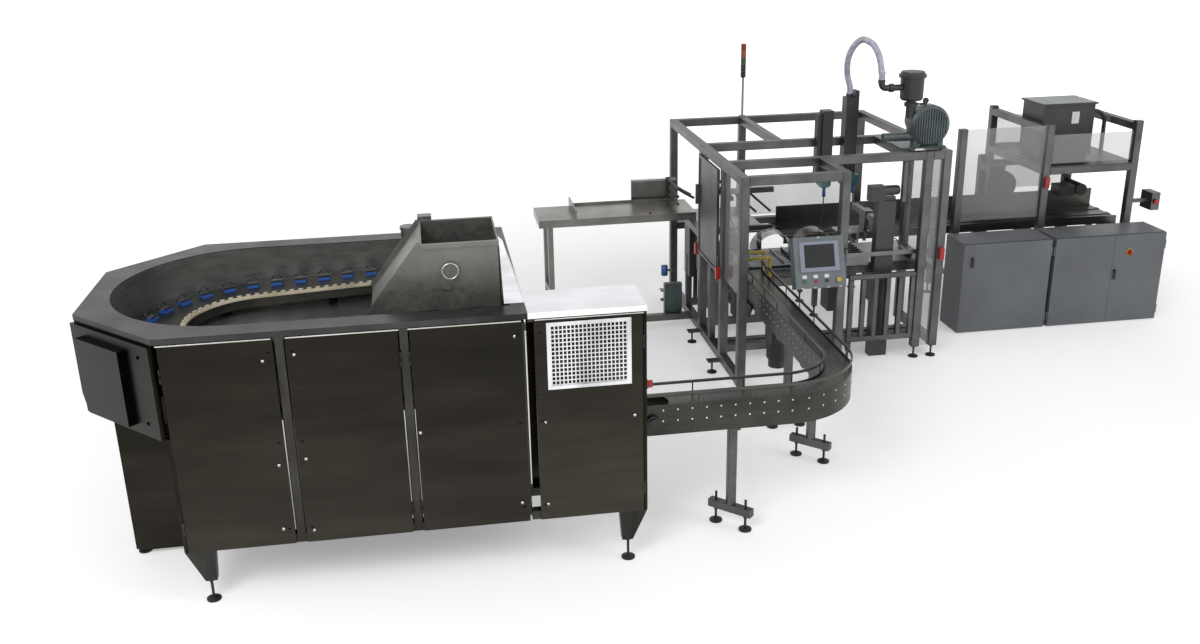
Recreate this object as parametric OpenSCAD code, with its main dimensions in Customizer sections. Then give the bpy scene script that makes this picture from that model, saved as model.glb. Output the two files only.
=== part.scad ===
// Bottle case packing line: a carousel bottle feeder, a curved infeed conveyor, a
// framed pick-and-place case packer with its case magazine, and a sealing end with
// two electrical cabinets. The line stands on the floor at z = 0, it runs along X
// from the feeder to the sealing end, and its front faces -Y.

/* [Line] */
// Side of the square tube of the packer and sealer frames
tube_s = 75; // [60:1:90]
// Corner taken off each edge of a square tube
tube_cut = 5; // [3:1:8]
// Height of the packer frame above the floor
frame_h = 1964; // [1800:1:2200]
// Gap left where one piece seats on another
seat = 0.3; // [0.2:0.05:0.5]
// Extra length with which a cut runs past a face
overrun = 2; // [1:0.5:5]
// Thickness of folded sheet metal
sheet_t = 3; // [2:0.5:5]
// Thickness of cast and machined mounting plates
plate_t = 12; // [8:1:20]

/* [Levelling feet] */
// Radius of the round foot pad
pad_r = 45; // [30:1:60]
// Thickness of the foot pad
pad_h = 22; // [15:1:30]
// Radius of the threaded stud above the pad
stud_r = 9; // [6:0.5:12]
// Height of the frame members above the floor on their feet
foot_h = 110; // [80:1:140]

/* [Feeder body] */
// Length of the feeder along its front
feeder_l = 2920; // [2800:1:3100]
// Length of the bowl section along the front
body_l = 2185; // [2100:1:2300]
// Width of the feeder from front to back
feeder_w = 2006; // [1900:1:2100]
// Length cut off each left-hand corner of the bowl section
corner_cut = 565; // [500:1:600]
// Height of the rim above the floor
rim_h = 1785; // [1700:1:1900]
// Thickness of the rim sheet
rim_t = 4; // [3:0.5:6]
// Depth of the folded edge round the rim
rim_lip = 38; // [25:1:50]
// Height of the lower edge of the front panels
skirt_h = 365; // [300:1:420]
// Height of the lower edge of the overhanging end panels
end_skirt_h = 1140; // [1050:1:1250]
// Side of the feeder's frame tube
post_s = 60; // [50:1:70]
// Depth of the drive tower from front to back
tower_d = 415; // [380:1:450]
// Width of the tapered leg where it meets the frame
leg_top = 185; // [150:1:220]
// Width of the tapered leg above its foot
leg_low = 85; // [60:1:110]
// Height of the lower end of the tapered leg
leg_h = 150; // [120:1:180]

/* [Feeder doors] */
// Depth of the folded door tray
door_t = 20; // [15:1:25]
// Width of the strip left open between two doors
door_gap = 70; // [60:1:90]
// Share of the front of the bowl section at which the two middle seams lie
seam_shares = [0.327, 0.659];
// Height of a door's lower edge above the skirt
door_lift = 6; // [4:1:20]
// Radius of the head of a quarter-turn stud
quarter_r = 11; // [8:1:15]
// Height of the head of a quarter-turn stud
quarter_h = 9; // [6:1:12]
// Radius of a hinge knuckle
knuckle_r = 7; // [6:0.5:7.5]
// Radius of a hinge pin
pin_r = 3.5; // [3:0.25:4]
// Radial running clearance of a hinge pin or shaft
running = 0.05; // [0.02:0.01:0.09]
// Length of one hinge
hinge_l = 90; // [60:1:120]
// Lower and upper hinge places as shares of the door height
hinge_shares = [0.12, 0.86];

/* [Bowl and carousel] */
// Inner radius of the bowl's round end
bowl_r = 838; // [800:1:860]
// Distance of the round end's centre from the front left corner
bowl_x = 415; // [390:1:440]
// Height of the bowl floor
bowl_floor_h = 1410; // [1380:1:1430]
// Distance from the bowl's flat right end to the end of the body
bowl_end = 90; // [86:1:110]
// Radius of the carousel's path at its round ends
path_r = 690; // [680:1:700]
// Distance between the centres of the carousel's round ends
path_l = 870; // [840:1:880]
// Width of the track plates
track_w = 215; // [180:1:230]
// Thickness of the track plates
track_t = 10; // [8:1:12]
// Height of the track plates at the left-hand centre
track_h = 1535; // [1520:1:1550]
// Slope of the carousel towards the drive tower, in degrees
track_tilt = 2.8; // [2.4:0.1:3]
// Number of bottle pucks round the carousel
puck_n = 36; // [30:1:38]
// Length of a puck along the path
puck_l = 78; // [60:1:90]
// Width of a puck across the path
puck_w = 62; // [50:1:80]
// Height of a puck
puck_h = 34; // [25:1:45]
// Radius of the wire loop over a puck
loop_r = 58; // [50:1:62]
// Radius of the wire
wire_r = 4; // [3:0.5:5]
// Radius of the toothed rail at the round ends
rail_r = 430; // [415:1:445]
// Width of the toothed rail
rail_w = 34; // [28:1:40]
// Height of the toothed rail
rail_h = 30; // [25:1:35]
// Spacing of the teeth along the rail
tooth_pitch = 60; // [50:1:80]

/* [Hopper] */
// Place of the hopper's right side from the front left corner
hopper_x = 2056; // [2040:1:2070]
// Length of the hopper's open top
hopper_top_l = 480; // [440:1:500]
// Length of the hopper's floor
hopper_low_l = 820; // [760:1:860]
// Distance of the hopper's front from the feeder's front
hopper_y = 450; // [430:1:470]
// Depth of the hopper from front to back
hopper_d = 560; // [520:1:580]
// Height of the hopper's top
hopper_h = 2128; // [2080:1:2180]
// Height of the hopper's floor
hopper_floor_h = 1690; // [1686:1:1710]
// Thickness of the hopper wall
hopper_t = 5; // [4:0.5:8]
// Width of the folded edge round the hopper's mouth
hopper_lip = 26; // [20:1:35]
// Radius of the round sight port
port_r = 62; // [50:1:75]
// Width of the port's ring
port_ring = 15; // [10:1:20]
// Radius of the hopper gearmotor
hopper_motor_r = 58; // [50:1:60]

/* [End shroud and housing] */
// Length of the shroud along the cut corner
shroud_l = 800; // [760:1:820]
// Height of the shroud's upper edge
shroud_top_h = 1735; // [1700:1:1745]
// Depth of the shroud's raised box
shroud_box_d = 42; // [30:1:60]
// Distance that the lower housing stands out to the left
housing_l = 477; // [450:1:500]
// Width of the lower housing from front to back
housing_w = 606; // [560:1:650]
// Height of the lower housing above the floor
housing_low = 30; // [25:1:40]

/* [Drive tower] */
// Width of the perforated grille
grille_w = 524; // [480:1:540]
// Height of the perforated grille
grille_h = 440; // [420:1:460]
// Width of the frame round the grille
grille_edge = 22; // [18:1:30]
// Thickness of the grille's frame
grille_t = 14; // [10:1:18]
// Number of holes across the grille
grille_nx = 19; // [10:1:22]
// Number of holes up the grille
grille_nz = 14; // [8:1:18]
// Width of the bars between the holes
grille_bar = 7; // [5:0.5:10]
// Height of the selector knob
knob_h = 1235; // [1150:1:1300]
// Radius of the selector knob
knob_r = 24; // [18:1:30]

/* [Infeed conveyor] */
// Height of the conveyor side plates' upper edge
conveyor_h = 1000; // [950:1:1050]
// Depth of the side plates
side_h = 215; // [180:1:240]
// Width across the side plates
conveyor_w = 200; // [180:1:220]
// Thickness of the side plates
side_t = 8; // [6:1:10]
// Distance of the straight run's centre line from the feeder's front
conveyor_y = 330; // [320:1:350]
// Gap between the feeder and the conveyor's plates
conveyor_gap = 15; // [10:1:25]
// Place of the curve's centre along X
curve_x = 3960; // [3900:1:4000]
// Radius of the curve's centre line
curve_r = 480; // [450:1:500]
// Place where the run into the packer ends
conveyor_y1 = 2950; // [2900:1:2990]
// Pitch of the slat chain
slat_pitch = 60; // [50:1:80]
// Gap between two slats
slat_gap = 1.2; // [1:0.1:2]
// Thickness of the slats
slat_t = 6; // [5:0.5:8]
// Depth of the slats below the upper edge of the side plates
slat_drop = 14; // [10:1:20]
// Height of the guide rails above the side plates
guide_h = 62; // [50:1:80]
// Side of a guide rail
guide_s = 12; // [8:1:16]
// Spacing of the guide posts
guide_pitch = 340; // [300:1:420]
// Side of the conveyor leg tube
cleg_s = 60; // [50:1:70]
// Length of a foot bar
foot_bar_l = 330; // [280:1:380]
// Radius of the sprocket hub at the conveyor's end
hub_r = 42; // [35:1:50]
// Radius of the conveyor's drive motor
motor_r = 92; // [70:1:100]

/* [Packer frame] */
// Place of the frame's left side along X
packer_x = 4222; // [4200:1:4240]
// Distance of the infeed bay's front from the feeder's front
bay_y = 2450; // [2400:1:2480]
// Length of the infeed bay
bay_l = 865; // [840:1:900]
// Distance of the main front side
front_y = 3050; // [3020:1:3080]
// Distance of the rear side
back_y = 5143; // [5100:1:5180]
// Length of the packer frame along X
packer_l = 2028; // [2000:1:2060]
// Place of the middle rear post along X
mid_x = 4950; // [4930:1:4970]
// Distance of the magazine bay's front post
magazine_y = 3843; // [3800:1:3880]
// Height of the machine bed
bed_h = 900; // [860:1:940]
// Thickness of the machine bed
bed_t = 25; // [20:1:30]
// Thickness of a clear guard panel
guard_t = 6; // [5:0.5:10]

/* [Case packer mechanism] */
// Number of bottle lanes
lane_n = 6; // [4:1:8]
// Length of the bottle lanes
lane_l = 620; // [560:1:660]
// Spacing of the bottle lanes
lane_pitch = 74; // [60:1:80]
// Place of the lift column along X
lift_x = 5759; // [5740:1:5780]
// Width of the lift column
lift_w = 170; // [140:1:180]
// Depth of the lift column
lift_d = 100; // [90:1:104]
// Height of the lift column
lift_h = 1500; // [1440:1:1560]
// Width of a linear guide rail
rail_s = 24; // [20:1:30]
// Length of the pick arm
arm_l = 560; // [520:1:600]
// Number of gripper heads across the pick head
grip_nx = 4; // [3:1:5]
// Number of gripper heads along the pick head
grip_ny = 3; // [2:1:4]
// Radius of a bottle gripper
grip_r = 20; // [15:1:25]
// Spacing of the grippers
grip_pitch = 74; // [60:1:80]

/* [Case magazine] */
// Length of the magazine table
table_l = 1560; // [1500:1:1600]
// Distance of the table's front edge
table_y = 4270; // [4240:1:4290]
// Width of the table
table_w = 540; // [500:1:560]
// Height of the table
table_h = 1200; // [1160:1:1240]
// Depth of the table's folded edge
table_lip = 75; // [60:1:90]
// Travel of the case pusher
push_travel = 700; // [600:1:800]

/* [Vacuum system] */
// Radius of the blower's ribbed housing
blower_r = 185; // [165:1:200]
// Depth of the blower's ribbed housing
blower_d = 150; // [120:1:180]
// Number of cooling ribs
blower_n = 13; // [9:1:17]
// Radius of the filter canister
canister_r = 112; // [100:1:120]
// Height of the filter canister
canister_h = 250; // [220:1:280]
// Outer radius of the ribbed vacuum hose
hose_r = 29; // [25:1:32]
// Inner radius of the vacuum hose
hose_bore_r = 23; // [20:1:24]
// Height to which the hose loops
hose_top = 2930; // [2880:1:2980]
// Number of ribs along the hose
hose_rib_n = 100; // [80:1:110]
// Height of the hose column
hose_column_h = 2385; // [2350:1:2420]

/* [Operator panel] */
// Width of the operator panel
hmi_w = 432; // [400:1:460]
// Height of the operator panel
hmi_h = 425; // [400:1:450]
// Depth of the operator panel
hmi_d = 110; // [90:1:120]
// Backward tilt of the operator panel, in degrees
hmi_tilt = 20; // [12:1:24]
// Height of the panel's lower edge
hmi_low = 1060; // [1000:1:1090]
// Place of the panel's left side along X
hmi_x = 4600; // [4560:1:4620]
// Radius of a push button
button_r = 13; // [11:0.5:15]
// Travel of a push button
button_travel = 5; // [4:0.5:6]

/* [Signal tower] */
// Radius of the lamp stack
lamp_r = 27; // [20:1:35]
// Height of one lamp
lamp_h = 68; // [50:1:80]
// Height of the pole above the frame
mast_h = 400; // [350:1:450]

/* [Cabinets] */
// Height of the cabinets
cabinet_h = 914; // [880:1:940]
// Depth of the cabinets
cabinet_d = 400; // [380:1:420]
// Distance of the cabinet fronts
cabinet_y = 3530; // [3500:1:3560]
// Width of the left cabinet
cabinet_l_w = 914; // [880:1:940]
// Width of the right cabinet
cabinet_r_w = 1170; // [1140:1:1219]
// Place of the left cabinet along X
cabinet_x = 6745; // [6720:1:6760]
// Space between the two cabinets
cabinet_gap = 42; // [30:1:60]
// Thickness of the cabinet doors
cab_door_t = 22; // [18:1:26]
// Share of the right cabinet's width taken by its left-hand door
cab_split_share = 0.535;

/* [Sealer frame] */
// Distance of the sealer frame's front posts
sealer_y = 4095; // [4080:1:4110]
// Depth of the sealer frame
sealer_d = 1180; // [1140:1:1220]
// Places of the front posts along the sealer frame, from its left side
sealer_shares = [0, 0.49, 1];
// Length of the sealer frame
sealer_l = 1872; // [1840:1:1900]
// Place of the sealer frame's left side
sealer_x = 6902; // [6880:1:6920]
// Height of the transformer shelf
shelf_h = 1500; // [1460:1:1540]
// Width of the transformer
trafo_w = 560; // [500:1:600]
// Depth of the transformer
trafo_d = 420; // [380:1:450]
// Height of the transformer
trafo_h = 560; // [520:1:600]
// Height of the case conveyor bed
case_bed_h = 880; // [860:1:920]
// Width of the case conveyor bed
case_bed_w = 520; // [480:1:560]
// Radius of the tape reel
reel_r = 150; // [120:1:170]
// Width of the emergency stop box
estop_s = 90; // [80:1:110]

/* [Hidden] */
$fn = 48;

half_tube = tube_s / 2;
beam_h = frame_h - half_tube;
ring_h = rim_h - rim_t - seat;
conveyor_x0 = feeder_l + conveyor_gap;
feeder_cy = feeder_w / 2;
seam_x = [0, body_l * seam_shares[0], body_l * seam_shares[1], body_l, feeder_l];
hinge_off = knuckle_r + 1.2 * running + seat;
door_end_gap = 2 * knuckle_r + post_s / 4;
curve_y = conveyor_y + curve_r;
run_x = curve_x + curve_r;
cabinet_x1 = cabinet_x + cabinet_l_w;
cabinet_x2 = cabinet_x1 + cabinet_gap;
cabinet_x3 = cabinet_x2 + cabinet_r_w;
sealer_x1 = sealer_x + sealer_l;
sealer_y1 = sealer_y + sealer_d;
packer_x1 = packer_x + packer_l;
bay_x = packer_x + bay_l;
shroud_s0 = door_t / 2;
estop_arm = 1.9 * estop_s;
line_left = -(shroud_s0 + shroud_l + door_t) * cos(45);
line_right = sealer_x1 + half_tube + estop_arm + estop_s;
line_front = -grille_t;
line_back = sealer_y1 + pad_r;
origin_x = (line_left + line_right) / 2;
origin_y = (line_front + line_back) / 2;

// The left part of the feeder seen from above, counterclockwise from the front left corner
feeder_outline = [
    [0, 0], [body_l, 0], [body_l, feeder_w], [0, feeder_w],
    [-corner_cut, feeder_w - corner_cut], [-corner_cut, corner_cut]
];
base_outline = [[0, 0], [body_l, 0], [body_l, feeder_w], [0, feeder_w]];
tower_outline = [[body_l, 0], [feeder_l, 0], [feeder_l, tower_d], [body_l, tower_d]];

housing_outline = [
    [-housing_l, feeder_cy - housing_w / 2], [-door_t - seat, feeder_cy - housing_w / 2],
    [-door_t - seat, feeder_cy + housing_w / 2], [-housing_l, feeder_cy + housing_w / 2]
];

// Index of a corner, counted round a closed outline
function wrap(i, n) = (i + n) % n;

// Direction from point a to point b
function heading(a, b) = (b - a) / norm(b - a);

// Angle by which a closed outline turns at its corner i
function turn_at(p, i) =
    let (u = heading(p[wrap(i - 1, len(p))], p[i]), v = heading(p[i], p[wrap(i + 1, len(p))]))
    acos(u * v);

// A counterclockwise outline with every edge moved inwards by d
function inset(p, d) = [
    for (i = [0 : len(p) - 1])
        let (u = heading(p[wrap(i - 1, len(p))], p[i]), v = heading(p[i], p[wrap(i + 1, len(p))]))
        p[i] + d * [-u.y - v.y, u.x + v.x] / (1 + u * v)
];

// Place and heading at distance s along a stadium of radius r and straight length l
function path_at(s, r, l) =
    s < l ? [s, -r, 0]
    : s < l + PI * r ? let (a = (s - l) / r * 180 / PI) [l + r * sin(a), -r * cos(a), a]
    : s < 2 * l + PI * r ? [2 * l + PI * r - s, r, 180]
    : let (a = (s - 2 * l - PI * r) / r * 180 / PI) [-r * sin(a), r * cos(a), 180 + a];

// Moves a piece from the feeder's front left corner to the line's own origin
module on_line() {
    translate([-origin_x, -origin_y, 0]) children();
}

// A plain block between two opposite corners
module block(low, high) {
    translate(low) cube(high - low);
}

// Section of a square tube with its edges taken off
module section(s = tube_s, c = tube_cut) {
    h = s / 2;
    k = h - c;
    polygon([[-k, -h], [k, -h], [h, -k], [h, k], [k, h], [-k, h], [-h, k], [-h, -k]]);
}

// Square tubes along X, Y and Z between two places on their axis
module bar_x(x0, x1, y, z, s = tube_s) {
    translate([x0, y, z]) rotate([90, 0, 90]) linear_extrude(x1 - x0) section(s);
}

module bar_y(y0, y1, x, z, s = tube_s) {
    translate([x, y1, z]) rotate([90, 0, 0]) linear_extrude(y1 - y0) section(s);
}

module bar_z(z0, z1, x, y, s = tube_s) {
    translate([x, y, z0]) linear_extrude(z1 - z0) section(s);
}

// Round bars along X, Y and Z
module rod_x(x0, x1, y, z, r) {
    translate([x0, y, z]) rotate([0, 90, 0]) cylinder(h = x1 - x0, r = r);
}

module rod_y(y0, y1, x, z, r) {
    translate([x, y1, z]) rotate([90, 0, 0]) cylinder(h = y1 - y0, r = r);
}

module rod_z(z0, z1, x, y, r) {
    translate([x, y, z0]) cylinder(h = z1 - z0, r = r);
}

// Places a piece in the frame of edge i of an outline: x along it and y inwards
module on_edge(p, i) {
    a = p[i];
    u = heading(a, p[wrap(i + 1, len(p))]);
    translate([a.x, a.y, 0]) rotate([0, 0, atan2(u.y, u.x)]) children();
}

// Distance by which a bar of depth w stops short of corner i, so that it clears the next one
function mitre(p, i, w) = w * tan(turn_at(p, i) / 2) + seat;

function edge_l(p, i) = norm(p[wrap(i + 1, len(p))] - p[i]);

// A bar of depth w along the inside of edge i, from height z0 to z1
module edge_bar(p, i, z0, z1, w, more = 0) {
    c0 = mitre(p, i, w) + more;
    c1 = mitre(p, wrap(i + 1, len(p)), w) + more;
    on_edge(p, i) block([c0, 0, z0], [edge_l(p, i) - c1, w, z1]);
}

// A folded sheet tray with its face at y = 0, open towards +Y
module tray(x0, x1, z0, z1, d) {
    difference() {
        block([x0, 0, z0], [x1, d - seat, z1]);
        block([x0 + sheet_t, sheet_t, z0 + sheet_t], [x1 - sheet_t, d + overrun, z1 - sheet_t]);
    }
}

// A tray that covers edge i of an outline
module edge_tray(p, i, z0, z1, from = 0, to = 0) {
    c0 = mitre(p, i, door_t) + from;
    c1 = mitre(p, wrap(i + 1, len(p)), door_t) + to;
    on_edge(p, i) tray(c0, edge_l(p, i) - c1, z0, z1, door_t);
}

// A stadium shape: two half circles of radius r whose centres lie l apart along X
module stadium(r, l) {
    circle(r);
    translate([l, 0]) circle(r);
    translate([0, -r]) square([l, 2 * r]);
}

// A rounded slot of the bowl: a half circle on the left and a flat right end
module bowl_shape(r) {
    circle(r);
    translate([0, -r]) square([body_l - bowl_end - bowl_x - (bowl_r - r), 2 * r]);
}

// The fixed half of a butt hinge on a vertical axis at the origin: two knuckles, the pin
// and a leaf that runs back to its post at distance reach
module hinge_fixed(reach) {
    third = hinge_l / 3;
    for (z = [0, 2 * third]) {
        rod_z(z, z + third, 0, 0, knuckle_r);
        block([-pin_r / 2, 0, z], [pin_r / 2, reach - seat, z + third]);
    }
    rod_z(0, hinge_l, 0, 0, pin_r);
}

// The moving half: one bored knuckle and a leaf that reaches the door at side * reach
module hinge_moving(reach, side) {
    third = hinge_l / 3;
    difference() {
        union() {
            rod_z(third + seat, 2 * third - seat, 0, 0, knuckle_r);
            translate([0, -pin_r / 2, third + seat])
                mirror([side < 0 ? 1 : 0, 0, 0]) cube([reach + sheet_t / 2, pin_r, third - 2 * seat]);
        }
        rod_z(0, hinge_l, 0, 0, pin_r + running);
    }
}

// Heights of a door's hinges
function hinge_z(z0, z1) = [for (s = hinge_shares) z0 + (z1 - z0) * s - hinge_l / 2];

// Heads of quarter-turn studs on a face at y = 0
module quarter_turns(x, z0, z1) {
    for (s = [0.07, 0.5, 0.93]) rod_y(-quarter_h, sheet_t / 2, x, z0 + (z1 - z0) * s, quarter_r);
}

// Feeder
module feeder_frame() {
    base = inset(base_outline, door_t);
    bowl = inset(feeder_outline, door_t);
    post_low = skirt_h + post_s + seat;
    post_top = ring_h - post_s - seat;
    color("dimgray") on_line() {
        for (i = [0 : 3]) edge_bar(base, i, skirt_h, skirt_h + post_s, post_s);
        for (i = [0 : 5]) edge_bar(bowl, i, ring_h - post_s, ring_h, post_s);
        for (i = [3 : 5]) edge_bar(bowl, i, end_skirt_h, end_skirt_h + post_s, post_s, post_s / 2);
        for (y = [door_t, tower_d - door_t - post_s], z = [skirt_h, ring_h - post_s])
            block([z > skirt_h ? body_l + seat : body_l - door_t + seat, y, z],
                [feeder_l - door_t - post_s - seat, y + post_s, z + post_s]);
        for (p = inset(base_outline, door_t + post_s / 2))
            bar_z(post_low, post_top, p.x, p.y, post_s);
        for (i = [1, 2], y = [door_t + post_s / 2, feeder_w - door_t - post_s / 2])
            bar_z(post_low, post_top, seam_x[i], y, post_s);
        for (p = inset(feeder_outline, door_t + post_s))
            if (p.x < -corner_cut / 2) bar_z(end_skirt_h + post_s + seat, post_top, p.x, p.y, post_s);
        for (y = [door_t + post_s / 2, tower_d - door_t - post_s / 2])
            bar_z(skirt_h, ring_h, feeder_l - door_t - post_s / 2, y, post_s);
        for (i = [0, 3])
            let (p = inset(housing_outline, door_t + post_s / 2)[i])
                bar_z(housing_low, end_skirt_h - seat, p.x, p.y, post_s);
        for (x = [0, feeder_l], y = [door_t, feeder_w - door_t - post_s])
            translate([x > 0 && y > door_t ? body_l : x, y, 0])
                mirror([x > 0 ? 1 : 0, 0, 0]) tapered_leg();
        for (i = [0 : 3], z = hinge_z(door_z0(), door_z1()))
            translate([hinge_x(i), hinge_off, z]) hinge_fixed(door_t - hinge_off);
        carousel_legs();
    }
}

// A gusset leg that narrows towards its foot
module tapered_leg() {
    translate([0, post_s, 0]) rotate([90, 0, 0]) linear_extrude(post_s)
        polygon([
            [0, skirt_h - seat], [leg_top - leg_low, leg_h], [leg_top - post_s / 4, leg_h],
            [leg_top, skirt_h - seat]
        ]);
}

function door_z0() = skirt_h + door_lift;
function door_z1() = rim_h - rim_lip - door_lift;
function door_x0(i) = i == 0 ? door_end_gap : seam_x[i] + door_gap / 2;
function door_x1(i) = i == 3 ? feeder_l - door_end_gap : seam_x[i + 1] - door_gap / 2;
function hinge_side(i) = i % 2 == 0 ? 1 : -1;
function hinge_x(i) = i % 2 == 0 ? door_x0(i) - hinge_off : door_x1(i) + hinge_off;

module feeder_door(i) {
    x0 = door_x0(i);
    x1 = door_x1(i);
    free = i % 2 == 0 ? x1 - door_gap / 2 : x0 + door_gap / 2;
    on_line() {
        tray(x0, x1, door_z0(), door_z1(), door_t);
        quarter_turns(free, door_z0(), door_z1());
        for (z = hinge_z(door_z0(), door_z1()))
            translate([hinge_x(i), hinge_off, z]) hinge_moving(hinge_off, hinge_side(i));
    }
}

module feeder_door_1() {
    color("#3b3631") feeder_door(0);
}

module feeder_door_2() {
    color("#3b3631") feeder_door(1);
}

module feeder_door_3() {
    color("#3b3631") feeder_door(2);
}

module feeder_door_4() {
    color("#3b3631") feeder_door(3);
}

// The top sheet with its folded edge, open over the bowl
module feeder_rim() {
    color("#77726f") on_line() {
        difference() {
            translate([0, 0, rim_h - rim_lip]) linear_extrude(rim_lip) polygon(feeder_outline);
            translate([0, 0, rim_h - rim_lip - overrun]) linear_extrude(rim_lip - rim_t + overrun)
                polygon(inset(feeder_outline, rim_t));
            translate([bowl_x, feeder_cy, rim_h - rim_lip]) linear_extrude(rim_lip + overrun)
                bowl_shape(bowl_r);
        }
    }
}

// The bowl: a rolled wall that hangs under the rim, and a flat floor
module feeder_bowl() {
    color("#6b6663") on_line() translate([bowl_x, feeder_cy, 0]) {
        difference() {
            translate([0, 0, bowl_floor_h]) linear_extrude(rim_h - rim_t - seat - bowl_floor_h)
                bowl_shape(bowl_r + rim_t);
            translate([0, 0, bowl_floor_h + rim_t]) linear_extrude(rim_h - bowl_floor_h)
                bowl_shape(bowl_r);
        }
    }
}

// Fixed side sheets of the body and of the tower, and the lower end housing
module feeder_panels() {
    z1 = door_z1();
    top = end_skirt_h - seat;
    color("#4a4541") on_line() {
        edge_tray(feeder_outline, 1, door_z0(), z1, tower_d);
        for (i = [0 : 2])
            on_edge(feeder_outline, 2)
                tray(body_l - seam_x[i + 1] + door_gap / 2, body_l - seam_x[i] - door_gap / 2,
                    door_z0(), z1, door_t);
        for (i = [3 : 5]) edge_tray(feeder_outline, i, end_skirt_h, z1);
        edge_tray(base_outline, 3, door_z0(), top);
        for (i = [1, 2]) edge_tray(tower_outline, i, door_z0(), z1);
        for (i = [0, 2, 3]) edge_tray(housing_outline, i, housing_low, top);
    }
    end_shroud();
}

// The sheet shroud hung on the cut front left corner, with its raised box
module end_shroud() {
    s0 = shroud_s0;
    s1 = shroud_s0 + shroud_l;
    low = end_skirt_h + sheet_t;
    color("#3b3631") on_line() rotate([0, 0, 135]) {
        translate([0, door_t, 0]) rotate([90, 0, 0]) linear_extrude(door_t - seat)
            polygon([
                [s0, low], [s1 - shroud_box_d, low], [s1, low + 3 * shroud_box_d],
                [s1, shroud_top_h], [s0, shroud_top_h]
            ]);
        block([s0 + shroud_l * 0.32, door_t - sheet_t, low + shroud_box_d],
            [s1 - 2.5 * shroud_box_d, door_t + shroud_box_d, shroud_top_h - 1.6 * shroud_box_d]);
        for (z = [low + 2 * shroud_box_d, shroud_top_h - 2 * shroud_box_d])
            rod_y(door_t - sheet_t, door_t + quarter_h, s0 + 2.8 * shroud_box_d, z, quarter_r);
    }
}

module tower_deck() {
    color("whitesmoke") on_line() difference() {
        block([body_l + seat, 0, rim_h - rim_lip], [feeder_l, tower_d, rim_h]);
        block([body_l - overrun, rim_t, rim_h - rim_lip - overrun],
            [feeder_l - rim_t, tower_d - rim_t, rim_h - rim_t]);
    }
}

// A perforated guard: a frame round a sheet with rows of square holes
module drive_grille() {
    x0 = (door_x0(3) + door_x1(3) - grille_w) / 2;
    z0 = door_z1() - grille_h - grille_edge;
    inner_w = grille_w - 2 * grille_edge;
    inner_h = grille_h - 2 * grille_edge;
    px = (inner_w - grille_bar) / grille_nx;
    pz = (inner_h - grille_bar) / grille_nz;
    color("gainsboro") on_line() translate([x0, -seat, z0]) rotate([90, 0, 0]) {
        difference() {
            cube([grille_w, grille_h, grille_t - seat]);
            translate([grille_edge, grille_edge, -overrun]) cube([inner_w, inner_h, grille_t + 2 * overrun]);
        }
        linear_extrude(sheet_t) difference() {
            translate([grille_edge / 2, grille_edge / 2])
                square([grille_w - grille_edge, grille_h - grille_edge]);
            for (i = [0 : grille_nx - 1], j = [0 : grille_nz - 1])
                translate([grille_edge + grille_bar + i * px, grille_edge + grille_bar + j * pz])
                    square([px - grille_bar, pz - grille_bar]);
        }
    }
}

module selector_knob() {
    color("orangered") on_line() translate([feeder_l, 2.5 * knob_r, knob_h]) {
        rod_x(seat, knob_r / 2, 0, 0, knob_r * 1.25);
        rod_x(knob_r / 2 - seat, 1.6 * knob_r, 0, 0, knob_r);
        block([seat + knob_r, -knob_r / 4, -knob_r], [1.8 * knob_r, knob_r / 4, knob_r]);
    }
}

// The sloping frame of the carousel, with its origin at the left-hand centre
module carousel() {
    translate([bowl_x, feeder_cy, track_h]) rotate([0, -track_tilt, 0]) children();
}

module carousel_ring(r0, r1, z0, z1) {
    translate([0, 0, z0]) linear_extrude(z1 - z0) difference() {
        stadium(r1, path_l);
        stadium(r0, path_l);
    }
}

// The deck that the pucks run on and the wall of the well inside it
module carousel_track() {
    r0 = rail_r - rail_w / 2;
    r1 = path_r + track_w / 2;
    color("#8f8d8b") on_line() {
        carousel() {
            carousel_ring(r0, r1, -track_t, 0);
            carousel_ring(r0, r0 + track_t, -rail_h * 2, -track_t / 2);
        }
    }
}

// The legs under the deck stand on the bowl's floor and end square to the slope
module carousel_legs() {
    span = feeder_l;
    intersection() {
        translate([bowl_x, feeder_cy, 0])
            for (i = [0 : 7])
                let (p = path_at((i + 0.5) * (2 * path_l + 2 * PI * path_r) / 8, path_r, path_l))
                    bar_z(bowl_floor_h + rim_t + seat, rim_h, p.x, p.y, post_s);
        carousel() translate([-span, -span, -span - track_t - seat]) cube([2 * span, 2 * span, span]);
    }
}

// Bottle pucks: a grooved block with a wire loop over it
module carousel_pucks() {
    total = 2 * path_l + 2 * PI * path_r;
    color("royalblue") on_line() carousel()
        for (i = [0 : puck_n - 1])
            let (p = path_at((i + 0.5) * total / puck_n, path_r, path_l))
                translate([p.x, p.y, seat]) rotate([0, 0, p[2]]) puck();
}

module puck() {
    difference() {
        block([-puck_l / 2, -puck_w / 2, 0], [puck_l / 2, puck_w / 2, puck_h]);
        rod_x(-puck_l, puck_l, 0, puck_h + puck_w * 0.1, puck_w * 0.3);
    }
    translate([0, -puck_w * 0.42, puck_h - wire_r]) rotate([90, 0, 0])
        rotate_extrude(angle = 180) translate([loop_r * 0.6, 0]) circle(wire_r, $fn = 16);
}

// The toothed rail on the inner edge of the deck
module toothed_rail() {
    total = 2 * path_l + 2 * PI * rail_r;
    teeth = floor(total / tooth_pitch);
    color("antiquewhite") on_line() carousel() {
        carousel_ring(rail_r - rail_w / 2, rail_r + rail_w / 2, seat, rail_h / 2);
        translate([0, 0, rail_h / 2]) linear_extrude(rail_h / 2) difference() {
            stadium(rail_r + rail_w / 4, path_l);
            stadium(rail_r - rail_w / 4, path_l);
            for (i = [0 : teeth - 1])
                let (p = path_at(i * total / teeth, rail_r, path_l))
                    translate([p.x, p.y]) rotate(p[2]) square([tooth_pitch / 2, rail_w], center = true);
        }
    }
}

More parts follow.
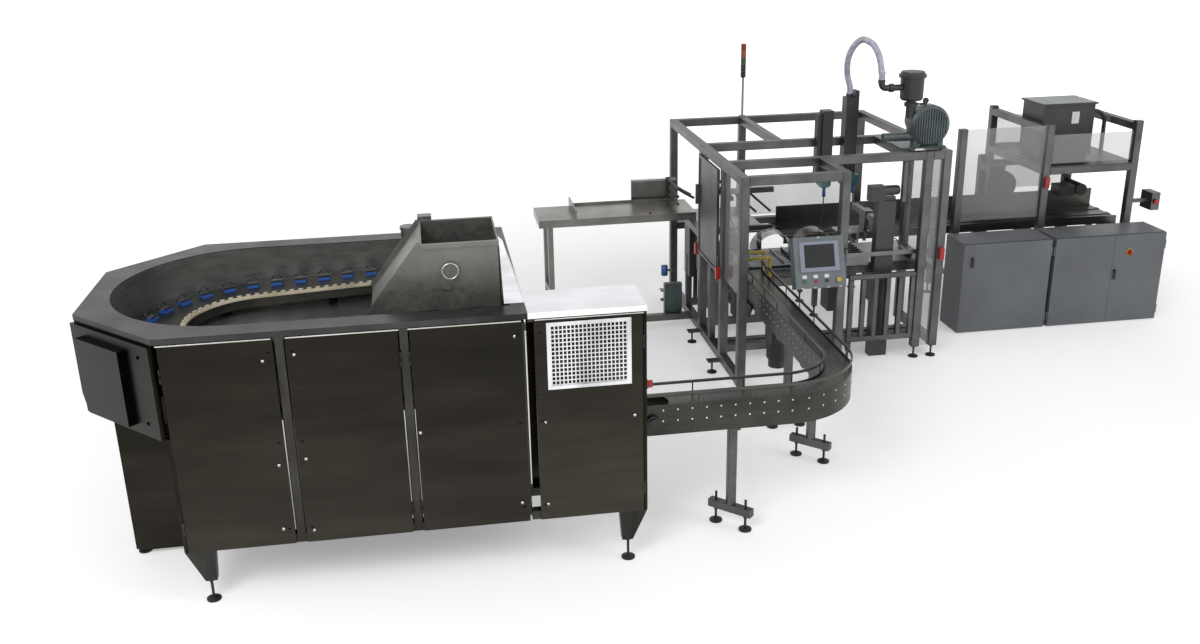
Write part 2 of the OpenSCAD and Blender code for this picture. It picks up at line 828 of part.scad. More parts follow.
// The bulk hopper: an open box with a slanted left side, a rolled mouth and a sight port
module hopper() {
    x1 = hopper_x;
    profile = [
        [x1 - hopper_low_l, hopper_floor_h], [x1, hopper_floor_h],
        [x1, hopper_h], [x1 - hopper_top_l, hopper_h]
    ];
    room = inset(profile, hopper_t);
    slope = heading(profile[0], profile[3]);
    side = [-slope.y, slope.x] * hopper_lip;
    port_x = x1 - hopper_top_l * 0.64;
    port_z = hopper_floor_h + (hopper_h - hopper_floor_h) * 0.58;
    y1 = hopper_y + hopper_d;
    color("#5f5f58") on_line() {
        difference() {
            union() {
                translate([0, y1, 0]) rotate([90, 0, 0]) linear_extrude(hopper_d) polygon(profile);
                block([x1 - hopper_top_l - hopper_t, hopper_y - hopper_lip, hopper_h - hopper_lip],
                    [x1 + hopper_t, y1 + hopper_lip, hopper_h]);
                for (y = [hopper_y + hopper_t, y1])
                    translate([0, y, 0]) rotate([90, 0, 0]) linear_extrude(hopper_t)
                        polygon([profile[0], profile[3], profile[3] + side, profile[0] + side]);
            }
            translate([0, y1 - hopper_t, 0]) rotate([90, 0, 0]) linear_extrude(hopper_d - 2 * hopper_t)
                polygon([
                    room[0], room[1], room[2] + [0, hopper_lip], room[3] + slope * hopper_lip
                ]);
            block([x1 - hopper_top_l, hopper_y - hopper_lip + hopper_t, hopper_h - hopper_lip - overrun],
                [x1 - hopper_t, hopper_y, hopper_h - hopper_t]);
            block([x1 - hopper_top_l, y1, hopper_h - hopper_lip - overrun],
                [x1 - hopper_t, y1 + hopper_lip - hopper_t, hopper_h - hopper_t]);
        }
        translate([port_x, hopper_y, port_z]) rotate([90, 0, 0]) difference() {
            cylinder(h = port_ring, r = port_r);
            translate([0, 0, port_ring / 3]) cylinder(h = port_ring, r = port_r - port_ring);
        }
        block([port_x - port_r, hopper_y - port_ring, port_z - 1.9 * port_r],
            [port_x, hopper_y, port_z - 1.3 * port_r]);
        for (s = [0.12, 0.4], y = [0.55, 0.9])
            bar_z(bowl_floor_h + rim_t + seat, hopper_floor_h + hopper_t / 2,
                x1 - hopper_low_l * (1 - s), hopper_y + hopper_d * y, post_s * 0.7);
    }
}

// The gearmotor on the back of the hopper
module hopper_gearmotor() {
    y0 = hopper_y + hopper_d + seat;
    x0 = hopper_x - hopper_top_l - 2 * hopper_motor_r;
    z0 = hopper_h - 4 * hopper_motor_r;
    r = hopper_motor_r;
    color("#8a8a88") on_line() {
        block([x0 + r, y0, z0 + r], [x0 + 3.6 * r, y0 + 2.2 * r, z0 + 2.6 * r]);
        rod_z(z0, z0 + 2.9 * r, x0 + r * 0.7, y0 + 1.2 * r, r * 0.9);
        rod_z(z0 + 2.9 * r, z0 + 3.2 * r, x0 + r * 0.7, y0 + 1.2 * r, r);
        block([x0 + 1.8 * r, y0 + hopper_lip, z0 + 2.6 * r - overrun], [x0 + 3.4 * r, y0 + 1.9 * r, z0 + 4.4 * r]);
    }
}

// The sloping cover between the hopper and the drive tower
module discharge_cover() {
    x0 = hopper_x + hopper_t + seat;
    y0 = tower_d / 2;
    y1 = tower_d + hopper_d / 2;
    top = hopper_h - hopper_lip - 2 * hopper_t;
    color("lightgray") on_line() intersection() {
        translate([0, y1, 0]) rotate([90, 0, 0]) linear_extrude(y1 - y0)
            polygon([[x0, rim_h], [body_l, rim_h], [body_l - 2.2 * rim_lip, top - rim_lip], [x0, top]]);
        translate([x0 - overrun, 0, 0]) rotate([90, 0, 90]) linear_extrude(body_l)
            polygon([[y0, rim_h], [y1, rim_h], [y1, top], [tower_d, top]]);
    }
}

// Infeed conveyor
plate_low = conveyor_h - side_h;
side_in = conveyor_w / 2 - side_t;
slat_w = 2 * side_in - side_t;
slat_top = conveyor_h - slat_drop;

// Places and headings along the conveyor: straight, quarter curve, straight
function conveyor_at(s) =
    let (l0 = curve_x - conveyor_x0, l1 = curve_r * PI / 2)
    s < l0 ? [conveyor_x0 + s, conveyor_y, 0, 0]
    : s < l0 + l1 ? let (a = (s - l0) / curve_r * 180 / PI)
        [curve_x + curve_r * sin(a), curve_y - curve_r * cos(a), a, 1]
    : [run_x, curve_y + s - l0 - l1, 90, 0];

conveyor_len = curve_x - conveyor_x0 + curve_r * PI / 2 + conveyor_y1 - curve_y;

// A strip that follows the conveyor between two offsets from its centre line, cut into its
// straight runs and three sheets round the curve
module conveyor_strip(o0, o1, z0, z1) {
    block([conveyor_x0, conveyor_y - o1, z0], [curve_x - seat, conveyor_y - o0, z1]);
    block([run_x + o0, curve_y + seat, z0], [run_x + o1, conveyor_y1, z1]);
    for (i = [0 : 2])
        translate([curve_x, curve_y, z0]) rotate([0, 0, 30 * i - 90])
            rotate_extrude(angle = 30 - seat / curve_r * 60) translate([curve_r + o0, 0]) square([o1 - o0, z1 - z0]);
}

// Folded side plates, the cross spacers between them and the flange on the drive tower
module conveyor_plates() {
    lip = 3 * side_t;
    gauge = side_in - seat;
    wear_z = slat_top - slat_t - seat;
    color("#55524f") on_line() {
        difference() {
            conveyor_strip(side_in, side_in + side_t, plate_low, conveyor_h);
            rod_y(0, conveyor_y, hub_place().x, hub_place().z, hub_shaft() + running);
        }
        conveyor_strip(-side_in - side_t, -side_in, plate_low, conveyor_h);
        conveyor_strip(side_in - lip, side_in - seat, wear_z - 2 * side_t, wear_z);
        conveyor_strip(seat - side_in, lip - side_in, wear_z - 2 * side_t, wear_z);
        for (i = [0 : 7])
            let (p = conveyor_at((i + 0.5) * conveyor_len / 8))
                translate([p.x, p.y, plate_low + side_h * 0.35]) rotate([0, 0, p[2]])
                    rod_y(-gauge, gauge, 0, 0, side_t * 1.5);
        block([feeder_l + seat, conveyor_y - side_in - side_t, plate_low],
            [conveyor_x0 - seat, tower_d, conveyor_h]);
        for (s = [-1, 1])
            translate([run_x + s * (side_in + side_t + lip / 2), 0, 0])
                block([-lip / 2 + seat, bay_y + tube_s, plate_low - side_t],
                    [lip / 2 - seat, front_y - half_tube - seat, plate_low + lip]);
    }
}

function hub_place() = [conveyor_x0 + 1.5 * hub_r, conveyor_y - side_in - side_t, conveyor_h - side_h / 2];
function hub_shaft() = hub_r * 0.35;

// One chain slat: a rounded plate, cut back by the round edge of the slat before it
module slat(curved) {
    a = slat_pitch / curve_r * 180 / PI;
    ahead = curved ? [curve_r * sin(a), curve_r * (1 - cos(a))] : [slat_pitch, 0];
    linear_extrude(slat_t) difference() {
        intersection() {
            circle(slat_w * 0.62);
            translate([-slat_w, -slat_w / 2]) square([2 * slat_w, slat_w]);
        }
        translate(ahead) circle(slat_w * 0.62 + slat_gap);
    }
}

module conveyor_chain() {
    n = floor((conveyor_len - slat_w) / slat_pitch);
    color("#6f6a67") on_line()
        for (i = [0 : n - 1])
            let (p = conveyor_at((i + 0.5) * slat_pitch + slat_w * 0.62))
                translate([p.x, p.y, slat_top - slat_t]) rotate([0, 0, 180 + p[2]])
                    mirror([0, 1, 0]) slat(p[3] == 1);
}

// Guide rails above both side plates, on posts
module guide_rails() {
    o = conveyor_w / 2 - guide_s;
    z = conveyor_h + guide_h;
    n = floor(conveyor_len / guide_pitch);
    color("silver") on_line() {
        conveyor_strip(o, o + guide_s, z, z + guide_s * 1.5);
        conveyor_strip(-o - guide_s, -o, z, z + guide_s * 1.5);
        for (i = [0 : n], side = [-1, 1])
            let (p = conveyor_at(guide_s * 2 + i * (conveyor_len - 4 * guide_s) / n))
                translate([p.x, p.y, 0]) rotate([0, 0, p[2]])
                    rod_z(conveyor_h + seat, z - seat, 0, side * (conveyor_w / 2 - guide_s / 2), guide_s * 0.4);
    }
}

// Two arches that steady the bottles where they enter the packer
module entry_arches() {
    w = conveyor_w / 2 + seat;
    z0 = plate_low + side_h / 3;
    z1 = conveyor_h + 2.6 * guide_h;
    color("gold") on_line()
        for (y = [conveyor_y1 - conveyor_w, conveyor_y1 - guide_s])
            translate([run_x, y, 0]) {
                for (s = [-1, 1]) bar_z(z0, z1 - guide_s, s * (w + guide_s), 0, 2 * guide_s);
                bar_x(-w - 2 * guide_s, w + 2 * guide_s, 0, z1, 2 * guide_s);
            }
}

// Place and foot-bar angle of each conveyor leg
function leg_places() = [
    [(conveyor_x0 + curve_x) / 2 + conveyor_w * 0.6, conveyor_y, -45],
    [run_x, curve_y + 2 * conveyor_w, -45],
    [run_x, curve_y + 5 * conveyor_w, 0]
];

// T-shaped legs: a column with a head plate and a foot bar
module conveyor_legs() {
    color("#6a6663") on_line()
        for (p = leg_places()) translate([p.x, p.y, 0]) {
            bar_z(foot_h + cleg_s, plate_low - plate_t, 0, 0, cleg_s);
            rotate([0, 0, p.x == run_x ? 0 : 90]) block([-conveyor_w / 2, -cleg_s / 2, plate_low - plate_t - overrun],
                [conveyor_w / 2, cleg_s / 2, plate_low - seat]);
            rotate([0, 0, p[2]]) bar_x(-foot_bar_l / 2, foot_bar_l / 2, 0, foot_h + cleg_s / 2, cleg_s);
        }
}

// The drive motor that hangs under the run into the packer
module conveyor_motor() {
    y = curve_y + 6.5 * conveyor_w;
    r = motor_r;
    color("#1b1b1c") on_line() translate([run_x, y, 0]) {
        block([-conveyor_w / 2, -r, plate_low - plate_t], [conveyor_w / 2, r, plate_low - seat]);
        block([-r * 0.9, -r, plate_low - 1.6 * r], [r * 0.9, r, plate_low - plate_t / 2]);
        rod_z(plate_low - 3.2 * r, plate_low - 1.6 * r, 0, 0, r * 0.95);
        rod_z(plate_low - 4 * r, plate_low - 3.2 * r, 0, 0, r * 0.8);
        for (i = [0 : 5]) rod_z(plate_low - 3.1 * r + i * r / 4, plate_low - 3 * r + i * r / 4, 0, 0, r);
    }
}

// The sprocket hub on the outside of the front side plate
module drive_hub() {
    p = hub_place();
    color("#202022") on_line() translate(p) {
        rod_y(-hub_r * 0.6, -seat, 0, 0, hub_r);
        rod_y(-hub_r * 0.9, -hub_r * 0.5, 0, 0, hub_r * 0.6);
        rod_y(-seat, side_t + plate_t, 0, 0, hub_shaft());
        for (a = [0 : 60 : 300]) rotate([0, a, 0]) rod_y(-hub_r * 0.7, -hub_r * 0.5, hub_r * 0.8, 0, hub_r * 0.1);
    }
}

// All levelling feet of the line: a threaded stud with its lock nut and a round pad
module levelling_feet() {
    bar = foot_bar_l / 2 - cleg_s * 0.8;
    leg_x = leg_top - post_s / 4 - leg_low / 2;
    color("#2a2a2b") on_line() {
        for (x = [leg_x, feeder_l - leg_x]) foot(x, door_t + post_s / 2, leg_h);
        for (x = [leg_x, body_l - leg_x]) foot(x, feeder_w - door_t - post_s / 2, leg_h);
        for (p = leg_places(), s = [-1, 1])
            translate([p.x, p.y, 0]) rotate([0, 0, p[2]]) translate([s * bar, 0, 0]) {
                foot(0, 0, foot_h);
                rod_z(foot_h + cleg_s + seat, foot_h + 2 * cleg_s, 0, 0, stud_r);
            }
        for (p = concat(packer_feet(), table_legs(), case_legs())) foot(p.x, p.y, foot_h);
        foot(fence_x + tube_s * 0.3, front_y, foot_h);
        for (x = sealer_posts()) foot(x, sealer_y, foot_h);
        for (i = [1, 2]) foot(sealer_posts()[i], sealer_y1, foot_h);
        for (i = [0, 3])
            let (p = inset(housing_outline, door_t + post_s / 2)[i]) foot(p.x, p.y, housing_low);
    }
}

module foot(x, y, top) {
    translate([x, y, 0]) {
        rotate_extrude() polygon([
            [0, 0], [pad_r, 0], [pad_r, pad_h * 0.5], [2 * stud_r, pad_h], [0, pad_h]
        ]);
        rod_z(pad_h / 2, top - seat, 0, 0, stud_r);
        rod_z(top - 2 * stud_r, top - seat, 0, 0, stud_r * 1.8, $fn = 6);
    }
}

// Packer frame
lane_x1 = lift_x - lift_w * 0.8;
lane_y0 = front_y + tube_s + pad_r;
rail_x1 = packer_x1 - 2.3 * tube_s;
rail_x2 = packer_x1 - 4.6 * tube_s;

// Posts that run from the floor to the top rails
function packer_posts() = [
    [packer_x, bay_y], [bay_x, bay_y], [packer_x, front_y], [packer_x, magazine_y], [packer_x, back_y],
    [mid_x, back_y], [packer_x1, front_y], [packer_x1, magazine_y], [packer_x1, back_y], [rail_x1, front_y]
];

function packer_feet() = [
    for (p = packer_posts()) [p.x == packer_x && p.y > bay_y ? p.x - tube_s - pad_r / 2 : p.x, p.y]
];

module packer_frame() {
    t = half_tube + seat;
    z1 = frame_h;
    color("#5b5957") on_line() {
        for (p = packer_posts()) bar_z(foot_h, z1, p.x, p.y);
        for (y = [[bay_y, front_y], [front_y, magazine_y], [magazine_y, back_y]])
            for (z = [beam_h, foot_h + half_tube]) bar_y(y[0] + t, y[1] - t, packer_x, z);
        bar_x(packer_x + t, bay_x - t, bay_y, beam_h);
        bar_y(bay_y + t, front_y - t, bay_x, beam_h);
        bar_x(packer_x + t, rail_x1 - t, front_y, beam_h);
        bar_x(rail_x1 + t, packer_x1 - t, front_y, beam_h);
        bar_x(packer_x + t, packer_x1 - t, magazine_y, beam_h);
        bar_y(magazine_y + t, back_y - t, mid_x, beam_h);
        for (z = [beam_h, case_rail_z]) bar_y(magazine_y + t, back_y - t, packer_x1, z);
        for (z = [beam_h, bed_h - bed_t - half_tube]) bar_y(front_y + t, magazine_y - t, packer_x1, z);
        bar_y(magazine_y + t, back_y - t, packer_x, table_h - table_lip - half_tube - seat);
        bar_y(front_y + t, magazine_y - t, rail_x2, beam_h);
        for (z = [beam_h, bed_h - bed_t - half_tube]) {
            bar_x(packer_x + t, mid_x - t, back_y, z);
            bar_x(mid_x + t, packer_x1 - t, back_y, z);
        }
        bar_z(foot_h + tube_s + seat, bed_h, packer_x, front_y + (magazine_y - front_y) * 0.52, tube_s * 0.8);
        bar_z(foot_h + tube_s + seat, bed_h * 0.8, packer_x, magazine_y + (back_y - magazine_y) * 0.45, tube_s * 0.8);
        bar_z(z1 * 0.76, beam_h - t, rail_x2, front_y + tube_s * 0.6 + t, tube_s * 0.6);
        lower_fence();
        packer_base();
        for (z = hinge_z(guard_z0, guard_z1))
            translate([packer_x - half_tube - guard_frame / 2, door_y0 - hinge_off, z]) guard_hinge();
        for (s = [-1, 1])
            translate([pivot_x, pivot_y, pivot_z + s * (hinge_l / 2 + plate_t / 2)]) {
                block([-pivot_r, -pivot_r, -plate_t / 2], [pivot_r, bay_y - half_tube - pivot_y - seat, plate_t / 2]);
                if (s < 0) rod_z(0, hinge_l + plate_t, 0, 0, pin_r * 2);
            }
    }
}

// The low fence across the front, to the left of the right-hand posts
module lower_fence() {
    x0 = fence_x;
    x1 = rail_x1 - half_tube - seat;
    z0 = foot_h * 2;
    z1 = bed_h - tube_s;
    s = tube_s * 0.6;
    n = 5;
    for (z = [z0, z1]) bar_x(x0, x1, front_y, z, s);
    for (i = [0 : n])
        bar_z(z0 + s / 2 + seat, z1 - s / 2 - seat, x0 + s / 2 + i * (x1 - x0 - s) / n, front_y, s);
    bar_z(foot_h, z0 - s / 2 - seat, x0 + s / 2, front_y, s);
}

fence_x = bay_x + tube_s * 4.2;

// Base rails, bed beams, foot outriggers and the wireway from the feeder
module packer_base() {
    t = half_tube + seat;
    z = foot_h + half_tube;
    bed_z = bed_h - bed_t - half_tube;
    way = tube_s * 0.9;
    way_x = body_l - 6 * post_s;
    for (y = [front_y + 3 * tube_s, front_y + 4.6 * tube_s]) bar_x(packer_x + t, packer_x1 - t, y, z);
    bar_x(mid_x + t, packer_x1 - t, back_y, z);
    bar_y(front_y + t, magazine_y - t, packer_x1, z);
    bar_x(packer_x + t, packer_x1 - t, magazine_y, bed_z);
    bar_x(packer_x + t, packer_x1 - t, front_y + 3 * tube_s, bed_z);
    bar_x(packer_x + t, bay_x - t, front_y, bed_z);
    for (p = packer_posts())
        if (p.x == packer_x && p.y > bay_y)
            block([p.x - tube_s - 1.5 * pad_r, p.y - pad_r, foot_h],
                [p.x - half_tube - seat, p.y + pad_r, foot_h + plate_t]);
    bar_x(way_x, packer_x - t, magazine_y + 5 * tube_s, z + seat, way);
    bar_y(feeder_w - door_t - post_s, magazine_y + 5 * tube_s - way / 2 - seat, way_x + way / 2, z + seat, way);
    bar_z(z + way / 2 + 2 * seat, skirt_h - seat, way_x + way / 2, feeder_w - door_t - post_s / 2, post_s);
}

// Clear guard panels in the packer frame
module guard_panels() {
    t = half_tube + 2 * seat;
    top = frame_h - tube_s - seat;
    color("lightgrey", 0.35) on_line() {
        block([packer_x - guard_t / 2, bay_y + t, bed_h], [packer_x + guard_t / 2, front_y - t, top]);
        block([mid_x + t, back_y - guard_t / 2, bed_h], [packer_x1 - t, back_y + guard_t / 2, frame_h * 0.65]);
        block([rail_x1 + t, front_y - guard_t / 2, foot_h], [packer_x1 - t, front_y + guard_t / 2, top]);
        block([packer_x1 - guard_t / 2, front_y + t, bed_h], [packer_x1 + guard_t / 2, magazine_y - t, top]);
    }
}

// The hinged clear door between the front and magazine posts on the left side
door_y0 = front_y + half_tube + 2 * knuckle_r;
door_y1 = magazine_y - half_tube - 2 * knuckle_r;
guard_z0 = bed_h * 1.05;
guard_z1 = frame_h - tube_s - knuckle_r;
guard_frame = tube_s / 3;

module guard_door() {
    x = packer_x - half_tube - guard_frame / 2;
    f = guard_frame;
    color("#77746f") on_line() {
        difference() {
            block([x - f / 2, door_y0, guard_z0], [x + f / 2, door_y1, guard_z1]);
            block([x - f, door_y0 + f, guard_z0 + f], [x - guard_t / 2, door_y1 - f, guard_z1 - f]);
            block([x + guard_t / 2, door_y0 + f, guard_z0 + f], [x + f, door_y1 - f, guard_z1 - f]);
        }
        for (z = hinge_z(guard_z0, guard_z1)) translate([x, door_y0 - hinge_off, z])
            rotate([0, 0, 90]) hinge_moving(hinge_off, 1);
        block([x - f * 1.6, door_y1 - f, (guard_z0 + guard_z1) / 2], [x - f / 2 + seat, door_y1, guard_z1 * 0.85]);
    }
}

// Interlock switches and their keys on the posts
module interlock_switches() {
    s = tube_s * 0.55;
    color("firebrick") on_line() {
        for (y = [front_y, magazine_y])
            block([packer_x - half_tube - s, y - s / 2, frame_h * 0.46],
                [packer_x - half_tube - seat, y + s / 2, frame_h * 0.46 + 2.6 * s]);
        for (p = [[packer_x1, front_y, 0.49], [sealer_posts()[1], sealer_y, 0.66]])
            block([p.x - s / 2, p.y - half_tube - s, frame_h * p[2]],
                [p.x + s / 2, p.y - half_tube - seat, frame_h * p[2] + 2.6 * s]);
    }
}

// The fixed half of a guard hinge, held by a leaf on the front post's left face
module guard_hinge() {
    third = hinge_l / 3;
    for (z = [0, 2 * third]) {
        rod_z(z, z + third, 0, 0, knuckle_r);
        block([-pin_r / 2, -hinge_off - knuckle_r, z], [pin_r / 2, 0, z + third]);
        block([-pin_r / 2, -hinge_off - 2 * knuckle_r, z], [guard_frame / 2 - seat, -hinge_off - knuckle_r, z + third]);
    }
    rod_z(0, hinge_l, 0, 0, pin_r);
}

// Case packer mechanism
lane_x0 = packer_x + tube_s;
lane_h = bed_h + 2 * plate_t;
lane_w = lane_n * lane_pitch;
column_back = front_y + 2.5 * tube_s - seat;
lift_y = column_back - lift_d / 2;
arm_z = lift_h * 0.86;
arm_s = tube_s * 0.8;
carriage_y = column_back + rail_s / 2 + seat;
head_z = lane_h + 2.9 * grip_pitch;

// The machine bed with its stiffening ribs
module machine_bed() {
    y0 = front_y + 3 * tube_s - half_tube;
    y1 = magazine_y + half_tube;
    color("#8c8c8a") on_line() {
        block([packer_x + half_tube + seat, y0, bed_h - bed_t + seat],
            [packer_x1 - half_tube - seat, y1, bed_h]);
        for (s = [0.2, 0.4, 0.6, 0.8])
            bar_y(y0 + tube_s + seat, y1 - tube_s - seat, packer_x + packer_l * s,
                bed_h - bed_t - half_tube / 2, half_tube);
    }
}

// Bottle lanes: a raised lane bed, dividers, end pulleys, cross rods and lane cylinders
module bottle_lanes() {
    x1 = lane_x1;
    x0 = x1 - lane_l;
    top = lane_h + lane_pitch * 0.9;
    color("#a9abac") on_line() {
        block([lane_x0, lane_y0, bed_h], [x1, lane_y0 + lane_w, lane_h]);
        for (i = [0 : lane_n])
            block([x0, lane_y0 + i * (lane_w - side_t) / lane_n, lane_h],
                [x1, lane_y0 + i * (lane_w - side_t) / lane_n + side_t, top]);
        for (x = [lane_x0 + lane_pitch, x0 - lane_pitch])
            difference() {
                block([x - side_t, lane_y0, lane_h], [x + side_t, lane_y0 + lane_w, top]);
                for (i = [0 : lane_n - 1])
                    block([x - lane_pitch, lane_y0 + (i + 0.2) * lane_pitch, lane_h + side_t],
                        [x + lane_pitch, lane_y0 + (i + 0.8) * lane_pitch, top - side_t]);
            }
        for (i = [0 : lane_n - 1])
            rod_x(lane_x0 + 1.5 * lane_pitch, x0 - 1.5 * lane_pitch,
                lane_y0 + (i + 0.5) * lane_pitch, lane_h + lane_pitch * 0.28, lane_pitch * 0.3);
        for (x = [lane_x0 + 2.5 * lane_pitch, x0 - 2.5 * lane_pitch])
            bar_y(lane_y0, lane_y0 + lane_w, x, lane_h + lane_pitch * 0.68, guide_s * 1.5);
    }
}

// The lift column with its linear rails, gearbox and motor
module lift_column() {
    w = lift_w / 2;
    z0 = bed_h + bed_t;
    color("#343435") on_line() translate([lift_x, 0, 0]) {
        block([-w, lift_y - lift_d / 2, 0], [w, column_back, lift_h]);
        for (s = [-1, 1])
            block([s * w * 0.6 - rail_s / 2, column_back - seat, z0],
                [s * w * 0.6 + rail_s / 2, column_back + rail_s / 2, lift_h - rail_s]);
        block([-w * 1.9, lift_y - lift_d / 2, lift_h + seat], [-w * 0.3, column_back, lift_h + lift_d * 1.4]);
        block([-w * 0.3 + seat, lift_y - lift_d * 0.3, lift_h + seat], [w, lift_y + lift_d * 0.3, lift_h + lift_d * 0.35]);
        rod_x(-w * 0.3 + seat, w * 1.2, lift_y, lift_h + lift_d * 0.9, lift_d * 0.45);
        rod_x(w * 1.2 + seat, w * 1.4, lift_y, lift_h + lift_d * 0.9, lift_d * 0.4);
    }
}

// The carriage on the column's rails, with the arm that carries the pick head
module lift_carriage() {
    w = lift_w * 0.46;
    x = lift_x - lift_w * 0.25;
    color("#b4b6b8") on_line() {
        block([lift_x - w, carriage_y, arm_z - 1.6 * lift_d], [lift_x + w, carriage_y + plate_t, arm_z + arm_s]);
        bar_y(carriage_y + plate_t - overrun, carriage_y + plate_t + arm_l, x, arm_z, arm_s);
        difference() {
            translate([x, carriage_y + plate_t - overrun, arm_z - arm_s / 2 + overrun])
                rotate([0, -90, 0]) linear_extrude(arm_s / 2, center = true)
                    polygon([[0, 0], [0, arm_l / 3], [-1.4 * lift_d, 0]]);
            rod_x(x - arm_s, x + arm_s, carriage_y + arm_l * 0.11, arm_z - arm_s, arm_s * 0.2);
        }
    }
}

// The pick head: a shoe round the arm, a stem, a head plate and rows of bottle grippers
module pick_head() {
    x = lift_x - lift_w * 0.25;
    s = arm_s / 2;
    run = running * 2;
    wx = grip_nx * grip_pitch;
    wy = grip_ny * grip_pitch;
    y0 = lane_y0 + grip_pitch * 3.75;
    color("#c3c5c6") on_line() {
        difference() {
            block([x - s - plate_t, y0, arm_z - s - plate_t], [x + s + plate_t, y0 + wy * 0.6, arm_z + s + plate_t]);
            block([x - s - run, y0 - overrun, arm_z - s - run], [x + s + run, y0 + wy * 0.6 + overrun, arm_z + s + run]);
        }
        block([x - s - plate_t, y0, head_z + plate_t - overrun],
            [x - s + 2 * plate_t, y0 + wy * 0.6, arm_z - s - plate_t + overrun]);
        block([x - wx, y0 - wy * 0.2, head_z], [x, y0 + wy * 0.8, head_z + plate_t]);
        for (i = [0 : grip_nx - 1], j = [0 : grip_ny - 1])
            translate([x - wx + (i + 0.5) * grip_pitch, y0 - wy * 0.2 + (j + 0.5) * grip_pitch, 0]) {
                rod_z(head_z - grip_pitch * 0.8, head_z + overrun, 0, 0, grip_r);
                translate([0, 0, head_z - grip_pitch * 1.15]) rotate_extrude()
                    polygon([
                        [0, 0], [grip_r * 0.95, 0], [grip_r * 0.7, grip_pitch * 0.16],
                        [grip_r * 0.8, grip_pitch * 0.36], [0, grip_pitch * 0.36]
                    ]);
            }
    }
}

// Case magazine: a folded table, its back guide and hood, and two legs
table_x1 = packer_x + half_tube;
table_x0 = table_x1 - table_l;
function table_legs() = [for (y = [table_y + tube_s, table_y + table_w - tube_s]) [table_x0 + 1.5 * tube_s, y]];

module case_magazine() {
    stop_x = table_x1 - table_l * 0.32 - push_travel;
    stop_h = table_lip * 1.2;
    y1 = table_y + table_w;
    color("#9c9c9a") on_line() {
        difference() {
            block([table_x0, table_y, table_h - table_lip], [table_x1, y1, table_h]);
            block([table_x0 + sheet_t, table_y + sheet_t, table_h - table_lip - overrun],
                [table_x1 - sheet_t, y1 - sheet_t, table_h - sheet_t]);
        }
        block([stop_x, table_y + sheet_t, table_h + seat], [stop_x + plate_t, y1, table_h + stop_h]);
        block([stop_x + plate_t + seat, y1 - sheet_t, table_h + seat], [table_x1 - tube_s, y1, table_h + rail_s]);
        for (p = table_legs())
            bar_z(foot_h, table_h - sheet_t - seat, p.x, p.y, 2 * leg_half);
        bar_y(table_legs()[0].y + leg_half + seat, table_legs()[1].y - leg_half - seat,
            table_legs()[0].x, table_h * 0.35, tube_s * 0.6);
        rod_x(table_x0 + tube_s, table_x1 - tube_s / 2, push_y, push_z, rail_s / 2);
        for (x = [table_x0 + tube_s, table_x1 - tube_s / 2 - plate_t])
            block([x, y1 - sheet_t / 2, push_z - rail_s], [x + plate_t, push_y + rail_s, push_z + rail_s]);
    }
}

// The case pusher: a bored shoe on the rod behind the table, with three black fork bars
push_y = table_y + table_w + rail_s;
push_z = table_h - table_lip / 2;

module magazine_pusher() {
    x = table_x1 - 2.2 * tube_s;
    w = rail_s * 0.9;
    color("#161617") on_line() {
        difference() {
            block([x - w, push_y - rail_s * 0.75, push_z - w], [x + w, push_y + w, table_h + 3.1 * tube_s]);
            rod_x(x - 2 * w, x + 2 * w, push_y, push_z, rail_s / 2 + running);
        }
        for (i = [0 : 2])
            bar_y(table_y + table_w * 0.15, push_y, x, table_h + tube_s * (0.9 + i), half_tube * 0.6);
    }
}

// Signal tower on the rear post: a pole and a stack of lamps
module signal_tower() {
    z0 = frame_h + mast_h;
    color("#232324") on_line() {
        rod_z(frame_h, frame_h + plate_t, mid_x, back_y, lamp_r * 1.3);
        rod_z(frame_h + plate_t / 2, z0, mid_x, back_y, lamp_r * 0.45);
        for (i = [0 : 4])
            translate([mid_x, back_y, z0 + i * lamp_h]) rotate_extrude()
                polygon([
                    [0, seat], [lamp_r * 0.93, seat], [lamp_r, lamp_h * 0.1], [lamp_r, lamp_h * 0.9],
                    [lamp_r * 0.93, lamp_h], [0, lamp_h]
                ]);
    }
}

// Vacuum blower: a ribbed side-channel housing with its motor, base and outlet duct
blower_x = rail_x2 + (packer_x1 - rail_x2) * 0.65;
blower_y = front_y + 1.4 * tube_s;
blower_z = frame_h + plate_t + blower_r;

module blower() {
    r = blower_r;
    duct_r = hose_r * 1.3;
    duct_z = frame_h + r * 0.55;
    duct_x = rail_x2 - 3.6 * tube_s;
    color("#7d8789") on_line() {
        block([rail_x2 - half_tube, blower_y, frame_h], [packer_x1 + half_tube, blower_y + 4 * tube_s, frame_h + plate_t]);
        translate([blower_x, blower_y, blower_z]) {
            rotate([-90, 0, 0]) rotate_extrude() polygon([
                [0, 0], [r * 0.86, 0], [r, r * 0.14], [r, blower_d * 0.8], [r * 0.9, blower_d], [0, blower_d]
            ]);
            intersection() {
                rod_y(-plate_t * 1.2, plate_t, 0, 0, r * 0.84);
                for (i = [0 : blower_n - 1])
                    block([(i - (blower_n - 1) / 2) * r * 1.66 / blower_n - r * 0.025, -2 * plate_t, -r],
                        [(i - (blower_n - 1) / 2) * r * 1.66 / blower_n + r * 0.025, 2 * plate_t, r]);
            }
            rod_y(blower_d - overrun, blower_d + r * 1.1, 0, 0, r * 0.56);
            block([-r * 0.3, blower_d + r * 0.2, r * 0.4], [r * 0.3, blower_d + r * 0.8, r * 0.75]);
            for (s = [-1, 1])
                block([s * r * 0.6 - r * 0.14, blower_d * 0.2, -r], [s * r * 0.6 + r * 0.14, blower_d * 0.8, -r * 0.5]);
        }
        rod_x(duct_x + 2 * duct_r, blower_x - r * 0.8, blower_y + blower_d / 2, duct_z, duct_r);
        translate([duct_x + 2 * duct_r, blower_y + blower_d / 2, duct_z - 2 * duct_r]) rotate([90, 0, 0])
            rotate_extrude(angle = 90) translate([2 * duct_r, 0]) circle(duct_r);
    }
}

